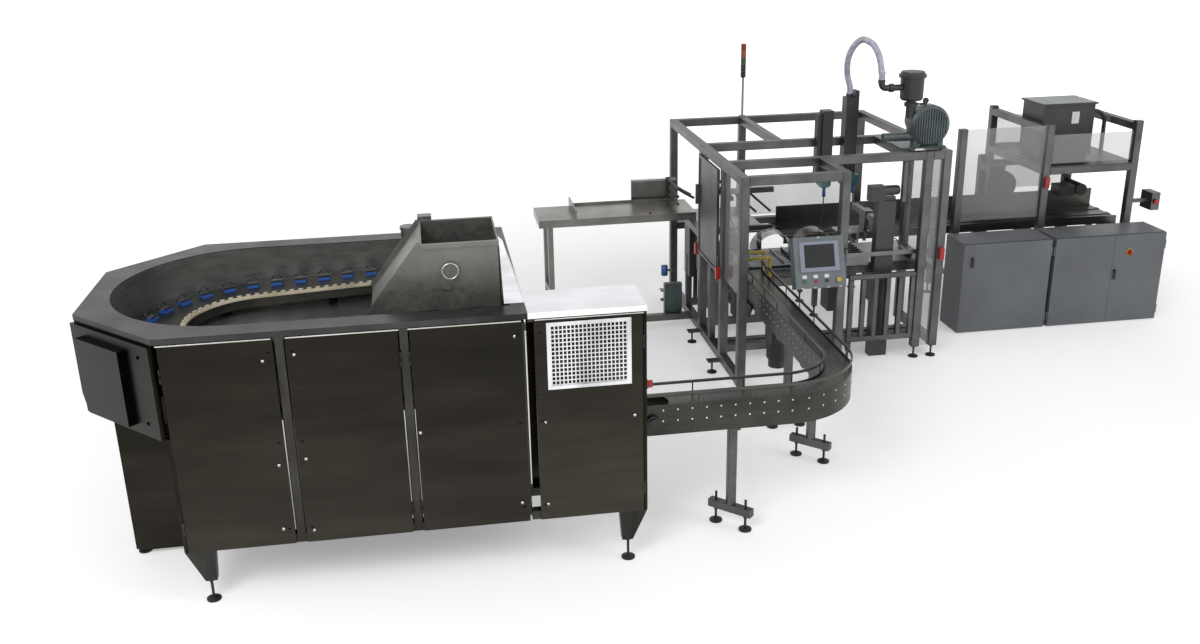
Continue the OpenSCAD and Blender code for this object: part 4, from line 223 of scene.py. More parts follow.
def puck_colours():
    """Pucks: the acetal block is blue up to its top, and the wire above it is dark. The height is taken
    square to the sloping deck: z cos a - x sin a."""
    material, tree, shader, place = material_of("blue_acetal", Roughness=0.4)
    # The deck's slope, the place from which heights are counted, the height in metres over which the colours
    # run, and the share of it at which the block ends
    slope, deck, tall, block = math.radians(2.8), line_point(415, 0, 1535), 0.06, 0.38
    rise = add(tree, "ShaderNodeVectorMath", {1: (-math.sin(slope), 0, math.cos(slope))}, {0: place},
               out=1, operation="DOT_PRODUCT")
    low = deck[2] * math.cos(slope) - deck[0] * math.sin(slope)
    share = between(tree, rise, 0, 1, low, low + tall)
    stops = [(0.0, "#2a55a0"), (block, "#1f1f22")]
    tree.links.new(tones(tree, share, stops, "CONSTANT"), shader.inputs["Base Color"])
    relief(tree, shader, noise(tree, place, (8, 8, 8)), 0.05)
    return material


def clear_sheet(name, tint, cover):
    """Clear extruded sheet: most light goes through, and its haze greys what lies behind."""
    material, tree, shader, place = material_of(name, Roughness=0.1, IOR=1.58, Base_Color=linear(tint))
    haze = noise(tree, place, (500, 500, 500))
    tree.links.new(between(tree, haze, cover - 0.03, cover + 0.03), shader.inputs["Alpha"])
    return material


def ribbed_pvc():
    """Clear PVC hose with a stiff spiral, seen as lilac-grey with a paler middle."""
    material, tree, shader, place = material_of("ribbed_pvc", Roughness=0.28, Coat_Weight=0.4)
    cloud = noise(tree, place, (45, 45, 45))
    stops = [(0, "#9292a6"), (1, "#bcbcca")]
    tree.links.new(tones(tree, between(tree, cloud, 0, 1), stops), shader.inputs["Base Color"])
    relief(tree, shader, cloud, 0.2)
    return material


FINISHES = {
    "linished_stainless": linished("linished_stainless"),
    # The drive's door is linished from another sheet, paler and tanner
    "tan_linished_stainless": linished("tan_linished_stainless", 0.14),
    # The end panels lean away from the room's light
    "dark_linished_stainless": linished("dark_linished_stainless", -0.16),
    # Folded stainless trim between the doors: matt, a little paler than the doors
    "folded_stainless": sheet_metal("folded_stainless", [(0, "#2c2b29"), (1, "#494744")],
                                    (24, 24, 300), (0.32, 0.45)),
    # Cold-rolled stainless with a satin finish
    "satin_stainless": sheet_metal("satin_stainless", [(0, "#434341"), (1, "#605f5b")],
                                   (300, 300, 12), (0.28, 0.42)),
    # The rim: the same sheet, rubbed in use until it is paler in places
    "rubbed_stainless": sheet_metal("rubbed_stainless", [(0, "#2b2b2c"), (0.6, "#373737"), (1, "#464545")],
                                    (260, 260, 260), (0.26, 0.4), (620, 620, 620), 0.02, 0.15),
    # The same sheet rolled to the bowl's curve
    "bowl_stainless": sheet_metal("bowl_stainless", [(0, "#5e5e5c"), (1, "#80807d")],
                                  (200, 200, 30), (0.24, 0.38), metallic=0.6),
    # The hopper's plate, bead-blasted: it takes the room's light from every side
    "blasted_stainless": sheet_metal("blasted_stainless", [(0, "#5c5c59"), (1, "#7c7c77")],
                                     (40, 40, 40), (0.34, 0.46), metallic=0.7),
    # The conveyor's plates: hot-rolled stainless, darker
    "rolled_stainless": sheet_metal("rolled_stainless", [(0, "#353532"), (1, "#4e4e49")],
                                    (300, 300, 12), (0.3, 0.44)),
    # Polished sheet of the deck and the chute beside the hopper: it mirrors the white room. On the magazine
    # guide's top it is a painted highlight
    "polished_stainless": sheet_metal("polished_stainless", [(0, "#d5d5d9"), (1, "#f2f2f6")], (300, 40, 40),
                                      (0.16, 0.26)),
    # Punched steel of the drive's grille, bright and reflecting; its tall clouds of paler tone are painted
    # reflection
    "punched_stainless": sheet_metal("punched_stainless", [(0, "#9fa0a2"), (1, "#e3e3e5")], (30, 30, 300),
                                     (0.2, 0.32), (240, 240, 900)),
    # Sheet of the magazine's table, wiped bright
    "table_stainless": sheet_metal("table_stainless", [(0, "#6f6f6c"), (1, "#979792")],
                                   (300, 14, 300), (0.25, 0.4)),
    # Square stainless tube, blasted with glass beads: grey and nearly matt
    "blasted_tube": sheet_metal("blasted_tube", [(0, "#505050"), (1, "#6c6c6b")], (18, 18, 18), (0.36, 0.5),
                                (260, 260, 260), 0.08),
    # Milled aluminium plate and extrusion: fine tool marks
    "milled_aluminium": sheet_metal("milled_aluminium", [(0, "#595a5c"), (1, "#8d8e90")],
                                    (8, 60, 60), (0.3, 0.42)),
    # Satin black powder coat on steel: small orange-peel spots
    "black_powder_coat": coated("black_powder_coat", [(0, "#151516"), (1, "#252526")], 0.42),
    # Warm dark grey paint on the lift's column
    "grey_powder_coat": coated("grey_powder_coat", [(0, "#2f2f30"), (1, "#3f3f40")], 0.42),
    # Blue-grey enamel on castings: slightly glossy, with a cast skin under it
    "machine_enamel": coated("machine_enamel", [(0, "#363e40"), (1, "#566163")], 0.34, 12, 0.4),
    # Grey textured powder coat of electrical enclosures
    "enclosure_coat": coated("enclosure_coat", [(0, "#55585c"), (1, "#64676b")], 0.42, 5, 0.12, 500),
    # Grey-green coat of the operator panel
    "panel_coat": coated("panel_coat", [(0, "#5b6265"), (1, "#686e72")], 0.42),
    # The transformer's lid, paler enamel
    "lid_enamel": coated("lid_enamel", [(0, "#85898a"), (1, "#9a9e9e")], 0.46),
    # Dark green-grey enamel of the transformer
    "transformer_enamel": coated("transformer_enamel", [(0, "#242827"), (1, "#313534")], 0.46),
    # Cream wear-resistant polyethylene of the toothed rail: waxy
    "cream_polyethylene": coated("cream_polyethylene", [(0, "#a59b84"), (1, "#cfc6b0")], 0.5, 10, 0.08),
    # Moulded plastics: glossy, with a faint moulding texture
    "red_plastic": coated("red_plastic", [(0, "#8a1d1a"), (1, "#a82620")], 0.25, 4, 0.02),
    "green_plastic": coated("green_plastic", [(0, "#14532d"), (1, "#1c7a40")], 0.25, 4, 0.02),
    "yellow_plastic": coated("yellow_plastic", [(0, "#a89022"), (1, "#c8b02c")], 0.3, 4, 0.02),
    "blue_plastic": coated("blue_plastic", [(0, "#1e3f7a"), (1, "#2f5aa0")], 0.3, 4, 0.02),
    "teal_plastic": coated("teal_plastic", [(0, "#274a50"), (1, "#3b6a70")], 0.3, 4, 0.02),
    # Glass-filled nylon: black and matt
    "black_nylon": coated("black_nylon", [(0, "#121213"), (1, "#202021")], 0.5, 5, 0.08),
    # Lacquered steel rail of the entry arches
    "yellow_enamel": coated("yellow_enamel", [(0, "#86741c"), (1, "#b49a2a")], 0.32, 8, 0.1),
    # White laminate of the plain legend plates
    "white_laminate": coated("white_laminate", [(0, "#c9cacb"), (1, "#dcdddd")], 0.35, 5, 0.02),
    # Printed film of the panel's screen frame, lilac-grey
    "bezel_film": coated("bezel_film", [(0, "#7c8190"), (1, "#8a8fa0")], 0.3, 4, 0.02),
    # Screen behind glass, switched off
    "screen_glass": coated("screen_glass", [(0, "#0d0e10"), (1, "#16181b")], 0.12, 60, 0.01, 90),
    # Zinc-plated fasteners, small and bright, and the painted highlight along the doors' top folds
    "bright_steel": sheet_metal("bright_steel", [(0, "#a3a19c"), (1, "#cfcdc8")], (20, 20, 20), (0.2, 0.34)),
    "lamp_plastic": lamp_colours(),
    "blue_acetal": puck_colours(),
    "ribbed_pvc": ribbed_pvc(),
    # Polycarbonate sheet: clear for the guards, smoked for the hoods
    "clear_polycarbonate": clear_sheet("clear_polycarbonate", "#a4a5a6", 0.32),
    "smoked_polycarbonate": clear_sheet("smoked_polycarbonate", "#3b352c", 0.55),
}

NODE_FINISH = {
    "linished_stainless": ["feeder_door_1", "feeder_door_2", "feeder_door_3"],
    "folded_stainless": ["feeder_frame"],
    "rubbed_stainless": ["feeder_rim"],
    "satin_stainless": ["carousel_track", "conveyor_chain", "guide_rails", "case_conveyor"],
    "rolled_stainless": ["conveyor_plates"],
    "blasted_stainless": ["hopper"],
    "tan_linished_stainless": ["feeder_door_4"],
    "dark_linished_stainless": ["feeder_panels"],
    "bowl_stainless": ["feeder_bowl"],
    "polished_stainless": ["tower_deck", "discharge_cover"],
    "punched_stainless": ["drive_grille"],
    "table_stainless": ["case_magazine"],
    "blasted_tube": ["packer_frame", "sealer_frame", "conveyor_legs", "guard_door"],
    "milled_aluminium": ["hopper_gearmotor", "machine_bed", "bottle_lanes", "lift_carriage", "pick_head"],
    "black_powder_coat": ["conveyor_motor", "drive_hub", "magazine_pusher", "filter_canister", "hose_column",
                          "cabinet_left_handle", "cabinet_right_handle", "sealer_head"],
    "grey_powder_coat": ["lift_column"],
    "machine_enamel": ["blower"],
    "enclosure_coat": ["cabinet_left", "cabinet_left_door", "cabinet_right", "cabinet_right_door_l",
                       "cabinet_right_door_r"],
    "panel_coat": ["operator_panel"],
    "transformer_enamel": ["transformer"],
    "cream_polyethylene": ["toothed_rail"],
    "red_plastic": ["selector_knob", "interlock_switches", "stop_button", "disconnect_knob", "line_estop"],
    "green_plastic": ["start_button"],
    "yellow_plastic": ["panel_estop"],
    "black_nylon": ["levelling_feet", "reset_button", "tape_reel"],
    "yellow_enamel": ["entry_arches"],
    "lamp_plastic": ["signal_tower"],
    "blue_acetal": ["carousel_pucks"],
    "clear_polycarbonate": ["guard_panels"],
}


def paint_nodes():
    """Gives every CAD node its finish."""
    for finish, nodes in NODE_FINISH.items():
        for name in nodes:
            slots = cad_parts[name].data.materials
            slots.clear()
            slots.append(FINISHES[finish])


# Meshes worked out with numpy
def piece_of(name, points, faces, finish, body="line", smooth=False, bevel_mm=0.0):
    """A piece from points in metres and faces, riding on a body, with its place in its mesh."""
    mesh = bpy.data.meshes.new(name)
    mesh.from_pydata(np.asarray(points, float).reshape(-1, 3).tolist(), [], faces)
    mesh.update()
    if smooth:
        mesh.polygons.foreach_set("use_smooth", np.ones(len(mesh.polygons), bool))
    mesh.materials.append(FINISHES[finish])
    piece = bpy.data.objects.new(name, mesh)
    bpy.context.scene.collection.objects.link(piece)
    if bevel_mm:
        rounding = piece.modifiers.new("edges", "BEVEL")
        rounding.width = bevel_mm * MM
        rounding.segments = 2
    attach(piece, body)
    return piece


BOX_FACES = np.array([[0, 1, 3, 2], [4, 6, 7, 5], [0, 4, 5, 1], [2, 3, 7, 6], [0, 2, 6, 4], [1, 5, 7, 3]])
BOX_BITS = np.array([[k >> 2 & 1, k >> 1 & 1, k & 1] for k in range(8)])


def plates(name, corners, finish, body="line", bevel_mm=1.0, place=line_point):
    """Plates and bars in one mesh, each between its lowest and highest corner. Corner k takes the low or high
    x, y and z by the bits of k, and place turns the line's mm into the frame's metres."""
    low, high = np.array(corners, float).reshape(-1, 2, 3).transpose(1, 0, 2)
    points = place(*np.where(BOX_BITS[None] == 1, high[:, None], low[:, None]).reshape(-1, 3).T)
    faces = (BOX_FACES[None] + 8 * np.arange(len(low))[:, None, None]).reshape(-1, 4).tolist()
    return piece_of(name, points, faces, finish, body, bevel_mm=bevel_mm)


def ring_faces(rows, sides, closed=False):
    """Four-sided faces between rows of points, each row a round of that many. In a closed grid the last row
    joins the first."""
    i, k = np.arange(rows if closed else rows - 1)[:, None] * sides, np.arange(sides)[None, :]
    after, beside = (i + sides) % (rows * sides), (k + 1) % sides
    return np.stack([i + k, i + beside, after + beside, after + k], -1).reshape(-1, 4)


def bent_sheet(name, outline, along, finish):
    """Bent sheet: an outline in the line's mm, out along one side of the sheet and back along the other,
    carried by the vector along. Its two ends are strips between the sides."""
    n = len(outline)
    k = np.arange(n)
    walls = np.stack([k, k + n, (k + 1) % n + n, (k + 1) % n], -1)
    a = np.arange(n // 2 - 1)
    b = n - 1 - a
    first = np.stack([a, a + 1, b - 1, b], -1)
    faces = np.concatenate([walls, first, first[:, ::-1] + n]).tolist()
    points = np.concatenate([outline, outline + np.array(along)])
    return piece_of(name, line_point(*points.T), faces, finish)


def smooth_route(places, count):
    """Catmull-Rom curve: b + u/2 ((c - a) + u ((2a - 5b + 4c - d) + u (3b - a - 3c + d)))."""
    places = np.array(places, float)
    last = len(places) - 1
    t = np.linspace(0, last, count)
    i = np.minimum(t.astype(int), last - 1)
    u = (t - i)[:, None]
    a, b, c, d = (places[np.clip(i + k, 0, last)] for k in (-1, 0, 1, 2))
    return b + u / 2 * ((c - a) + u * ((2 * a - 5 * b + 4 * c - d) + u * (3 * b - a - 3 * c + d)))


def sweep(name, path, radii, finish, sides=12, body="line"):
    """A tube along a path: each ring lies square to the difference of its neighbours, and its side vector is
    carried on from ring to ring, so the tube never twists. Its ends are flat."""
    ahead = np.gradient(path, axis=0)
    ahead /= np.linalg.norm(ahead, axis=1)[:, None]
    side = np.cross(ahead[0], [0.0, 0.0, 1.0] if abs(ahead[0][2]) < 0.9 else [1.0, 0.0, 0.0])
    across = []
    for way in ahead:
        side = side - way * np.dot(side, way)
        side = side / np.linalg.norm(side)
        across.append(side)
    across = np.array(across)
    over = np.cross(ahead, across)
    t = np.arange(sides) * 2 * np.pi / sides
    ring = across[:, None] * np.cos(t)[None, :, None] + over[:, None] * np.sin(t)[None, :, None]
    points = path[:, None] + ring * np.broadcast_to(radii, len(path))[:, None, None]
    faces = ring_faces(len(path), sides).tolist()
    faces += [np.arange(sides)[::-1].tolist(), ((len(path) - 1) * sides + np.arange(sides)).tolist()]
    return piece_of(name, points, faces, finish, body, smooth=True)


def tube(name, places, radius_mm, finish, body="line", count=48, sides=10):
    """A bent tube or lead through places in the line's mm."""
    path = smooth_route(line_point(*np.array(places, float).T), count)
    return sweep(name, path, radius_mm * MM, finish, sides, body)


# The vacuum hose, on the route that its solid has: its radius, its ribs and how deep they are as a share of
# the radius, how far it swings out in radii, and its route
HOSE_R, HOSE_RIBS, RIB_DEPTH, HOSE_SWING = 29, 150, 0.09, 2.2
HOSE_SHARES = [(0, 0, 0), (0, 0, 0.1), (-0.7, 0.06, 0.36), (-1.05, 0.18, 0.64), (-0.8, 0.34, 0.87),
               (-0.05, 0.5, 1), (0.65, 0.68, 0.93), (0.98, 0.84, 0.74), (1.03, 0.96, 0.5), (1, 1, 0.34),
               (1, 1, 0.3)]
HOSE_START, HOSE_END = (5574.3, 3741.4, 2385.3), (5667.9, 3230.0, 2580.45)
HOSE_LOW, HOSE_TOP = 2385, 2930


def hose_route():
    """Places from shares of the way across, of the way back and of the rise, as in the solid: beside the
    fittings the hose stands straight up for its own width."""
    places = []
    for across, along, rise in HOSE_SHARES:
        x = HOSE_START[0] + across * (HOSE_SWING * HOSE_R if across < 0 else HOSE_END[0] - HOSE_START[0])
        y = HOSE_START[1] + along * (HOSE_END[1] - HOSE_START[1])
        z = HOSE_LOW + rise * (HOSE_TOP - HOSE_R - HOSE_LOW)
        if along == 0:
            z = HOSE_START[2] if rise == 0 else HOSE_LOW + 2 * HOSE_R
        if along == 1:
            z = HOSE_END[2] + (2 * HOSE_R if rise > 0.3 else 0)
        places.append(line_point(x, y, z))
    return places


def vacuum_hose():
    """Each rib is a swell of the wall: r = R (1 - d (1 - cos a) / 2), with a turning once a rib and d the
    ribs' depth. A rib has four rings."""
    rings = 4
    steps = HOSE_RIBS * rings
    turn = np.arange(steps + 1) * 2 * np.pi / rings
    radii = HOSE_R * MM * (1 - RIB_DEPTH * (1 - np.cos(turn)) / 2)
    piece = sweep("ribbed_hose", smooth_route(hose_route(), steps + 1), radii, "ribbed_pvc", 24)
    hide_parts("vacuum_hose")


# The operator panel's face: its size, its lower left corner and the lean of its front
PANEL_W, PANEL_H, PANEL_CORNER, PANEL_LEAN = 432, 425, (4600, 2156.8, 1060), math.radians(20)


def panel_point(x, y, z):
    """Places on the panel's face, x across, y into the panel and z up its sloping front, in the frame's
    metres."""
    x0, y0, z0 = PANEL_CORNER
    return line_point(x0 + x, y0 + y * math.cos(PANEL_LEAN) + z * math.sin(PANEL_LEAN),
                      z0 - y * math.sin(PANEL_LEAN) + z * math.cos(PANEL_LEAN))


def panel_face():
    """The film round the screen, the screen, plain legend plates and the clips of the panel's edge."""
    w, h = PANEL_W, PANEL_H
    # The film's outer edge and the window in it
    x0, x1, z0, z1 = 0.115 * w, 0.885 * w, 0.325 * h, 0.905 * h
    s0, s1, t0, t1 = 0.2 * w, 0.8 * w, 0.4 * h, 0.85 * h
    film = [((x0, -6, z0), (x1, -5, t0)), ((x0, -6, t1), (x1, -5, z1)), ((x0, -6, t0), (s0, -5, t1)),
            ((s1, -6, t0), (x1, -5, t1))]
    screen = [((s0 + 1, -3.4, t0 + 1), (s1 - 1, -2.6, t1 - 1))]
    legends = [((w * s - 19, -1.5, 0.195 * h), (w * s + 19, -0.1, 0.26 * h)) for s in (0.18, 0.4, 0.62)]
    clips = [((w * s - 11, -4, 0), (w * s + 11, -0.1, 7)) for s in (0.12, 0.38, 0.64, 0.88)]
    clips.append(((0.47 * w, -3, h - 9), (0.53 * w, -0.1, h - 2)))
    for name, corners, finish, bevel_mm in (("screen_film", film, "bezel_film", 0.2),
                                            ("screen", screen, "screen_glass", 0.3),
                                            ("legend_plates", legends, "white_laminate", 0.3),
                                            ("panel_clips", clips, "white_laminate", 0.8)):
        plates(name, corners, finish, "operator_panel", bevel_mm, panel_point)


def door_edge_highlights():
    """A bright strip along the top of each door: painted highlight where the fold catches the light."""
    for i in range(1, 5):
        low, high = line_box(f"feeder_door_{i}")
        # Thin bright strip at the door's top: painted highlight of its fold
        plates(f"door_{i}_top_highlight", [((low[0] + 6, -1.2, high[2] - 7), (high[0] - 6, 2, high[2] + 0.4))],
               "bright_steel", f"feeder_door_{i}", 0.5)


def conveyor_bolts():
    """Two rows of button heads on the conveyor's plates at even steps of the path, which runs straight, turns
    a quarter and runs straight again. Each head is a profile turned about the plate's normal:
    place + a n + r (cos t side + sin t up)."""
    # The path: its start, the centre and radius of its bend, and its end
    x0, cx, cy, r, y1 = 2935, 3960, 810, 480, 2950
    # From the path to a plate, from bolt to bolt, from the path's two ends to the outer bolts, and the
    # heights of the rows
    half, step, first, last, rows_z = 100.6, 98.0, 35, 30, (962.0, 884.0)
    straight, arc = cx - x0, r * math.pi / 2
    s = np.arange(first, straight + arc + y1 - cy - last, step)
    turn = np.clip((s - straight) / r, 0, math.pi / 2)
    path = np.stack([np.where(s < straight, x0 + s, cx + r * np.sin(turn)),
                     np.where(s < straight + arc, cy - r * np.cos(turn), cy + s - straight - arc)], 1)
    out = np.stack([np.sin(turn), -np.cos(turn)], 1)
    path, way, z = (np.concatenate(v) for v in zip(*[(path + out * half * f, out * f, np.full(len(s), h))
                                                     for f in (1, -1) for h in rows_z]))
    # The drive hub covers the heads before this place
    hub_x, hub_y = 3062, 260
    clear = (path[:, 0] > hub_x) | (path[:, 1] > hub_y)
    path, way, z = path[clear], way[clear], z[clear]
    # A head from its edge to its flat top: how far out, and its radius there
    profile = np.array([[0, 7], [2.5, 7], [4.5, 4.5]])
    sides, rings = 8, len(profile)
    t = np.arange(sides) * 2 * np.pi / sides
    normal = np.column_stack([way, np.zeros(len(way))])
    side = np.column_stack([-way[:, 1], way[:, 0], np.zeros(len(way))])
    rim = np.cos(t)[None, :, None] * side[:, None] + np.sin(t)[None, :, None] * np.array([0, 0, 1.0])
    points = np.column_stack([path, z])[:, None, None] + profile[None, :, None, :1] * normal[:, None, None] \
        + profile[None, :, None, 1:] * rim[:, None]
    start = np.arange(len(path))[:, None, None] * rings * sides
    caps = np.stack([np.arange(sides)[::-1], (rings - 1) * sides + np.arange(sides)])
    faces = (ring_faces(rings, sides) + start).reshape(-1, 4).tolist()
    faces += (caps + start).reshape(-1, sides).tolist()
    piece_of("conveyor_bolts", (points + CORNER) * MM, faces, "bright_steel")


def door_latches():
    """Quarter-turn latches and hinge screws on the doors: short cylinders standing out of the front, at
    shares of each door's width and height."""
    shares = {1: [(0.9, 0.9), (0.93, 0.4), (0.9, 0.08)], 2: [(0.07, 0.92), (0.07, 0.42), (0.07, 0.06)],
              3: [(0.93, 0.93), (0.93, 0.1), (0.05, 0.5)], 4: [(0.07, 0.5), (0.07, 0.08), (0.9, 0.5)]}
    for i, spots in shares.items():
        low, high = line_box(f"feeder_door_{i}")
        for k, (a, b) in enumerate(spots):
            x, z = low[0] + a * (high[0] - low[0]), low[2] + b * (high[2] - low[2])
            tube(f"door_{i}_latch_{k + 1}", [(x, 1, z), (x, -7, z)], 10, "bright_steel", f"feeder_door_{i}",
                 3, 14)


def packer_fittings():
    """Valves, a cylinder, beams and levers in and beside the packer's frame, each on the bed, a post, the
    hose's column or another of them."""
    bowls = [((5330, 3630, 1450), (5330, 3630, 1541), 16), ((5610, 3630, 1472), (5610, 3630, 1551), 16),
             ((3945, 4300, 560), (3945, 4300, 660), 34)]
    for k, (a, b, r) in enumerate(bowls):
        tube(f"regulator_bowl_{k + 1}", [a, b], r, "blue_plastic", count=3, sides=16)
    tube("clamp_cylinder", [(6100, 3330, 925), (6100, 3560, 925)], 24.5, "milled_aluminium", count=3,
         sides=20)
    valves = [((5290, 3600, 1540), (5370, 3688.7, 1620)), ((5570, 3600, 1550), (5650, 3688.7, 1650))]
    plates("valve_banks", valves, "teal_plastic", bevel_mm=2)
    service = [((3940, 4270, 163), (4120, 4330, 476)), ((3945, 4290, 600), (4030, 4310, 620))]
    plates("air_service_unit", service, "machine_enamel", bevel_mm=3)
    plates("colour_marks", [((3780, 4268, 1205), (3812, 4271, 1228))], "red_plastic", bevel_mm=0.5)
    beams = [((4262.5, 3830, 1470), (4907, 3870, 1520)), ((4400, 3560, 1476), (4440, 3829.7, 1514)),
             ((4262.5, 3830, 1100), (4907, 3870, 1150)), ((4300, 3300, 991.3), (4380, 3780, 1040)),
             ((4560, 3700, 560), (4900, 3800, 836.7)), ((5300, 3300, 420), (5420, 3500, 836.7)),
             ((5700, 3260, 500), (5900, 3500, 836.7)), ((4400, 3300, 420), (4560, 3460, 836.7)),
             ((4200, 4300, 520), (4259, 4520, 1140)), ((4200, 3884, 700), (4262, 4000, 1090))]
    plates("case_handling_beams", beams, "black_powder_coat", bevel_mm=3)
    plates("front_rail", [((5290, 3100, 1000), (6212, 3112, 1040))], "milled_aluminium", bevel_mm=2)
    levers = [((4262, 3050, 1467), (4420, 2900, 1095), "milled_aluminium"),
              ((4500, 3850, 1500), (4700, 3700, 1320), "black_powder_coat"),
              ((4640, 3850, 1500), (4840, 3700, 1320), "black_powder_coat")]
    for k, (a, b, finish) in enumerate(levers):
        tube(f"guide_lever_{k + 1}", [a, b], 11, finish, count=3)


def lane_hoods():
    """Half-round hoods over the lanes: a strip of sheet bent to half a circle, x = m + r cos t and
    z = low + r sin t."""
    reach, sheet, low, y0, y1, steps = 190, 3, 991.5, 3400, 3600, 25
    t = np.linspace(0, np.pi, steps)
    t, r = np.concatenate([t, t[::-1]]), np.repeat([reach, reach - sheet], steps)
    for name, middle in (("hood_right", 5200), ("hood_left", 4800)):
        outline = np.column_stack([middle + r * np.cos(t), np.full(len(t), y0), low + r * np.sin(t)])
        bent_sheet(name, outline, (0, y1 - y0, 0), "smoked_polycarbonate")


def air_tubes():
    """Nylon air tubes: from the valve cabinet up to a beam, from one valve bank to the other, and from a
    bowl and the cylinder down to the bed."""
    ways = [[(4450, 4100, 559), (4440, 4040, 700), (4430, 3925, 860), (4435, 3905, 1000), (4440, 3850, 1102)],
            [(5330, 3640, 1618), (5360, 3600, 1720), (5450, 3560, 1760), (5560, 3600, 1720),
             (5610, 3640, 1648)],
            [(5330, 3630, 1452), (5320, 3610, 1300), (5300, 3610, 1120), (5300, 3610, 990)],
            [(6100, 3556, 925), (6060, 3620, 1000), (5950, 3650, 960), (5880, 3700, 899)]]
    for k, way in enumerate(ways):
        tube(f"air_tube_{k + 1}", way, 5, "black_nylon")


def transformer_lid():
    """The pale lid and the plain plate of the transformer, whose box stands under a lid wider by the rim. The
    conduit's box beside it belongs to the same node and stays clear."""
    low, high = line_box("transformer")
    width, depth, rim, inset = 560, 420, 37.5, 6
    plates("transformer_lid", [((low[0] + inset, low[1] + inset, high[2] + 0.1),
                                (low[0] + width + rim - inset, low[1] + depth + rim - inset, high[2] + 2.1))],
           "lid_enamel", bevel_mm=0.8)
    x, front, z = low[0] + rim / 2 + 0.56 * width, low[1] + rim / 2, high[2] - 210
    plates("transformer_plate", [((x, front - 2, z), (x + 80, front - 0.1, z + 120))],
           "white_laminate", bevel_mm=0.4)


def ring(name, x, y, z, big, small, finish, body="line"):
    """A round ring that lies against a front: a torus, (R + r cos u) round and r sin u along."""
    rows, sides = 48, 12
    t = (np.arange(rows) * 2 * np.pi / rows)[:, None]
    u = np.arange(sides) * 2 * np.pi / sides
    points = line_point(x + (big + small * np.cos(u)) * np.cos(t), y + small * np.sin(u),
                        z + (big + small * np.cos(u)) * np.sin(t))
    piece_of(name, points, ring_faces(rows, sides, closed=True).tolist(), finish, body, smooth=True)


def front_rings():
    """The clamp ring of the hopper's port, and the yellow ring behind the disconnect knob."""
    ring("port_ring", 1748.8, 438, 1944, 50, 6, "bright_steel")
    ring("disconnect_ring", 8490.2, 3525, 731.2, 33, 4.5, "yellow_plastic", "cabinet_right_door_r")


def erecting_table():
    """Under the rear bay: the table on which cases are opened, its legs on two cross members, the motor that
    hangs under it, the air tank and the valve cabinet."""
    plates("erecting_table", [((4290, 3940, 1050), (4890, 4900, 1066))], "table_stainless", bevel_mm=2)
    members = [((4262.5, y, 110), (4907, y + 40, 185)) for y in (3960, 4600)]
    legs = [((x, y, 185.3), (x + 40, y + 40, 1049.7)) for x in (4320, 4800) for y in (3960, 4600)]
    plates("erecting_table_legs", members + legs, "blasted_tube", bevel_mm=2)
    plates("valve_cabinet", [((4380, 3950, 185.5), (4520, 4650, 560))], "enclosure_coat", bevel_mm=4)
    tube("table_motor", [(4620, 4200, 640), (4620, 4200, 1049.5)], 72, "black_powder_coat", count=4, sides=28)
    tube("air_tank", [(4680, 3930, 266), (4680, 4680, 266)], 80, "grey_powder_coat", count=4, sides=28)


def sealer_screens():
    """Clear sheets of the sealing end: in front of the reel, above the cabinets and behind the posts."""
    front, back, half = 4095, 5275, 3
    sheets = [((6942, front - half, 990), (7779, front + half, 1920)),
              ((7860, front - half, 1530), (8733, front + half, 1820)),
              ((7860, back - half, 1000), (8733, back + half, 1820))]
    plates("sealer_screens", sheets, "clear_polycarbonate", bevel_mm=0.5)


def magazine_trim():
    """The bent sheet behind the magazine's table, a folded profile carried along X, a bright strip on its top
    as painted highlight, and the two black forks on the pusher that tip the cases."""
    x0, x1, y = 3714, 4182, 4853
    fold = np.array([[0, 1160], [0, 1395], [3, 1403], [10, 1411], [70, 1411], [70, 1408], [12, 1408],
                     [6, 1402], [3, 1394], [3, 1160]])
    outline = np.column_stack([np.full(len(fold), x0), y + 6 + fold[:, 0], fold[:, 1]])
    bent_sheet("magazine_guide", outline, (x1 - x0, 0, 0), "table_stainless")
    # Polished strip on the fold's top, paler than the sheet: painted highlight where it faces the light
    plates("magazine_guide_top_highlight", [((x0 + 2, y + 17, 1411.2), (x1 - 2, y + 75, 1412.4))],
           "polished_stainless", bevel_mm=0.3)
    for i, fork_y in enumerate((4420, 4560)):
        tube(f"tipping_fork_{i + 1}", [(4110, fork_y, 1404), (4190, fork_y, 1352), (4270, fork_y, 1306)], 13,
             "black_nylon", "magazine_pusher", 8)


# Floor, world and lamps
def seen_rays(tree):
    """One where the camera looks, or a mirror or clear sheet shows the surround, and zero for plain light."""
    path = tree.nodes.new("ShaderNodeLightPath").outputs
    seen = add(tree, "ShaderNodeMath", {}, {0: path["Is Camera Ray"], 1: path["Is Glossy Ray"]},
               operation="MAXIMUM")
    return add(tree, "ShaderNodeMath", {}, {0: seen, 1: path["Is Transmission Ray"]}, operation="MAXIMUM")


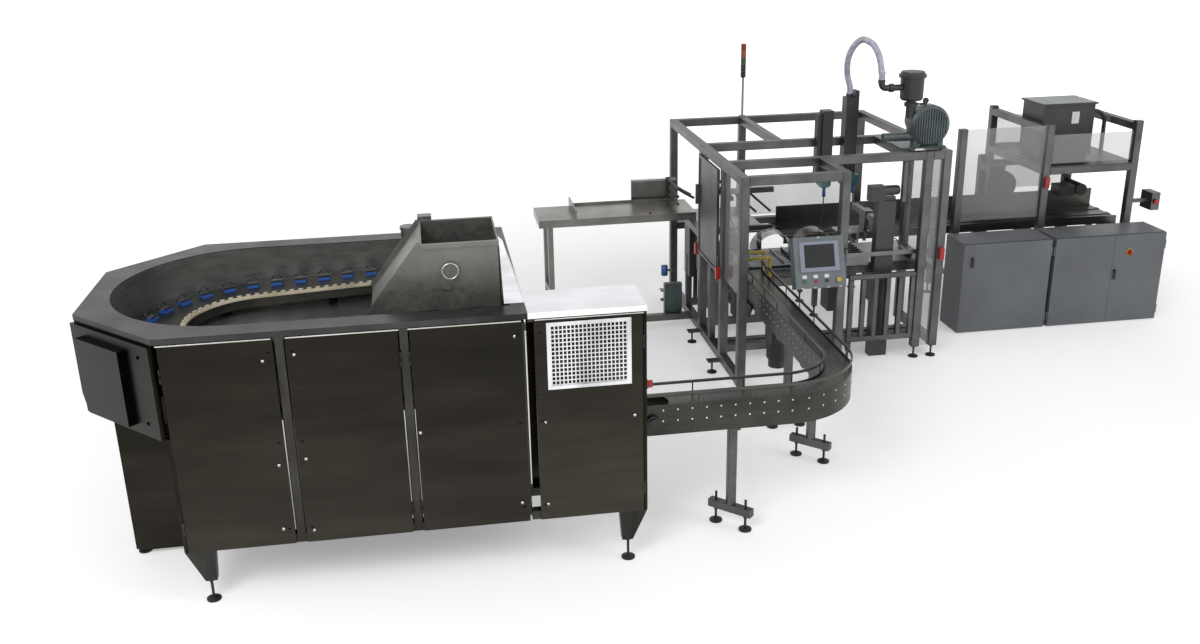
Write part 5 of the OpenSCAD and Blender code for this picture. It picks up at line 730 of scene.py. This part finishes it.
def floor_and_light():
    """A pale floor that keeps the shadow, a white surround and two wide soft lamps."""
    material, tree, shader, place = material_of("studio_floor", Roughness=0.9)
    cloud = noise(tree, place, (2000, 2000, 2000))
    tree.links.new(tones(tree, cloud, [(0.2, "#ececec"), (0.8, "#f0f0f0")]), shader.inputs["Base Color"])
    # The surround is white: the glow grows from 4 to 12 m away from the line's middle, so only the line's own
    # shadow stays
    away = add(tree, "ShaderNodeVectorMath", {}, {0: place}, out=1, operation="LENGTH")
    glow = add(tree, "ShaderNodeMath", {}, {0: seen_rays(tree), 1: between(tree, away, 0.28, 0.8, 4, 12)},
               operation="MULTIPLY")
    glow = add(tree, "ShaderNodeEmission", {"Color": (1, 1, 1, 1)}, {"Strength": glow})
    both = add(tree, "ShaderNodeAddShader", {}, {0: shader.outputs[0], 1: glow})
    tree.links.new(both, tree.nodes["Material Output"].inputs["Surface"])
    # 60 m to each side, and 1 mm under the feet
    reach, low = 60, -MM
    mesh = bpy.data.meshes.new("studio_floor")
    mesh.from_pydata([(-reach, -reach, low), (reach, -reach, low), (reach, reach, low), (-reach, reach, low)],
                     [], [[0, 1, 2, 3]])
    mesh.materials.append(material)
    floor = bpy.data.objects.new("studio_floor", mesh)
    bpy.context.scene.collection.objects.link(floor)
    world = bpy.data.worlds.new("studio")
    world.use_nodes = True
    bpy.context.scene.world = world
    background = world.node_tree.nodes["Background"]
    background.inputs["Color"].default_value = (1, 1, 1, 1)
    # The light that it gives is weaker than the white that it shows
    strength = between(world.node_tree, seen_rays(world.node_tree), 0.55, 1.0, 0, 1)
    world.node_tree.links.new(strength, background.inputs["Strength"])
    target = Vector(line_point(4200, 2000, 800))
    for name, spot, watts, size in (("key_lamp", (-2000, -6000, 7500), 500, 5),
                                    ("fill_lamp", (11000, -4000, 7000), 260, 6)):
        data = bpy.data.lights.new(name, "AREA")
        data.energy = watts
        data.size = size
        lamp = bpy.data.objects.new(name, data)
        lamp.location = line_point(*spot)
        lamp.rotation_euler = (target - lamp.location).to_track_quat("-Z", "Y").to_euler()
        bpy.context.scene.collection.objects.link(lamp)


aim_camera()
paint_nodes()
vacuum_hose()
panel_face()
door_edge_highlights()
conveyor_bolts()
door_latches()
packer_fittings()
lane_hoods()
air_tubes()
transformer_lid()
front_rings()
erecting_table()
sealer_screens()
magazine_trim()
floor_and_light()
bpy.context.scene.view_settings.view_transform = "Standard"
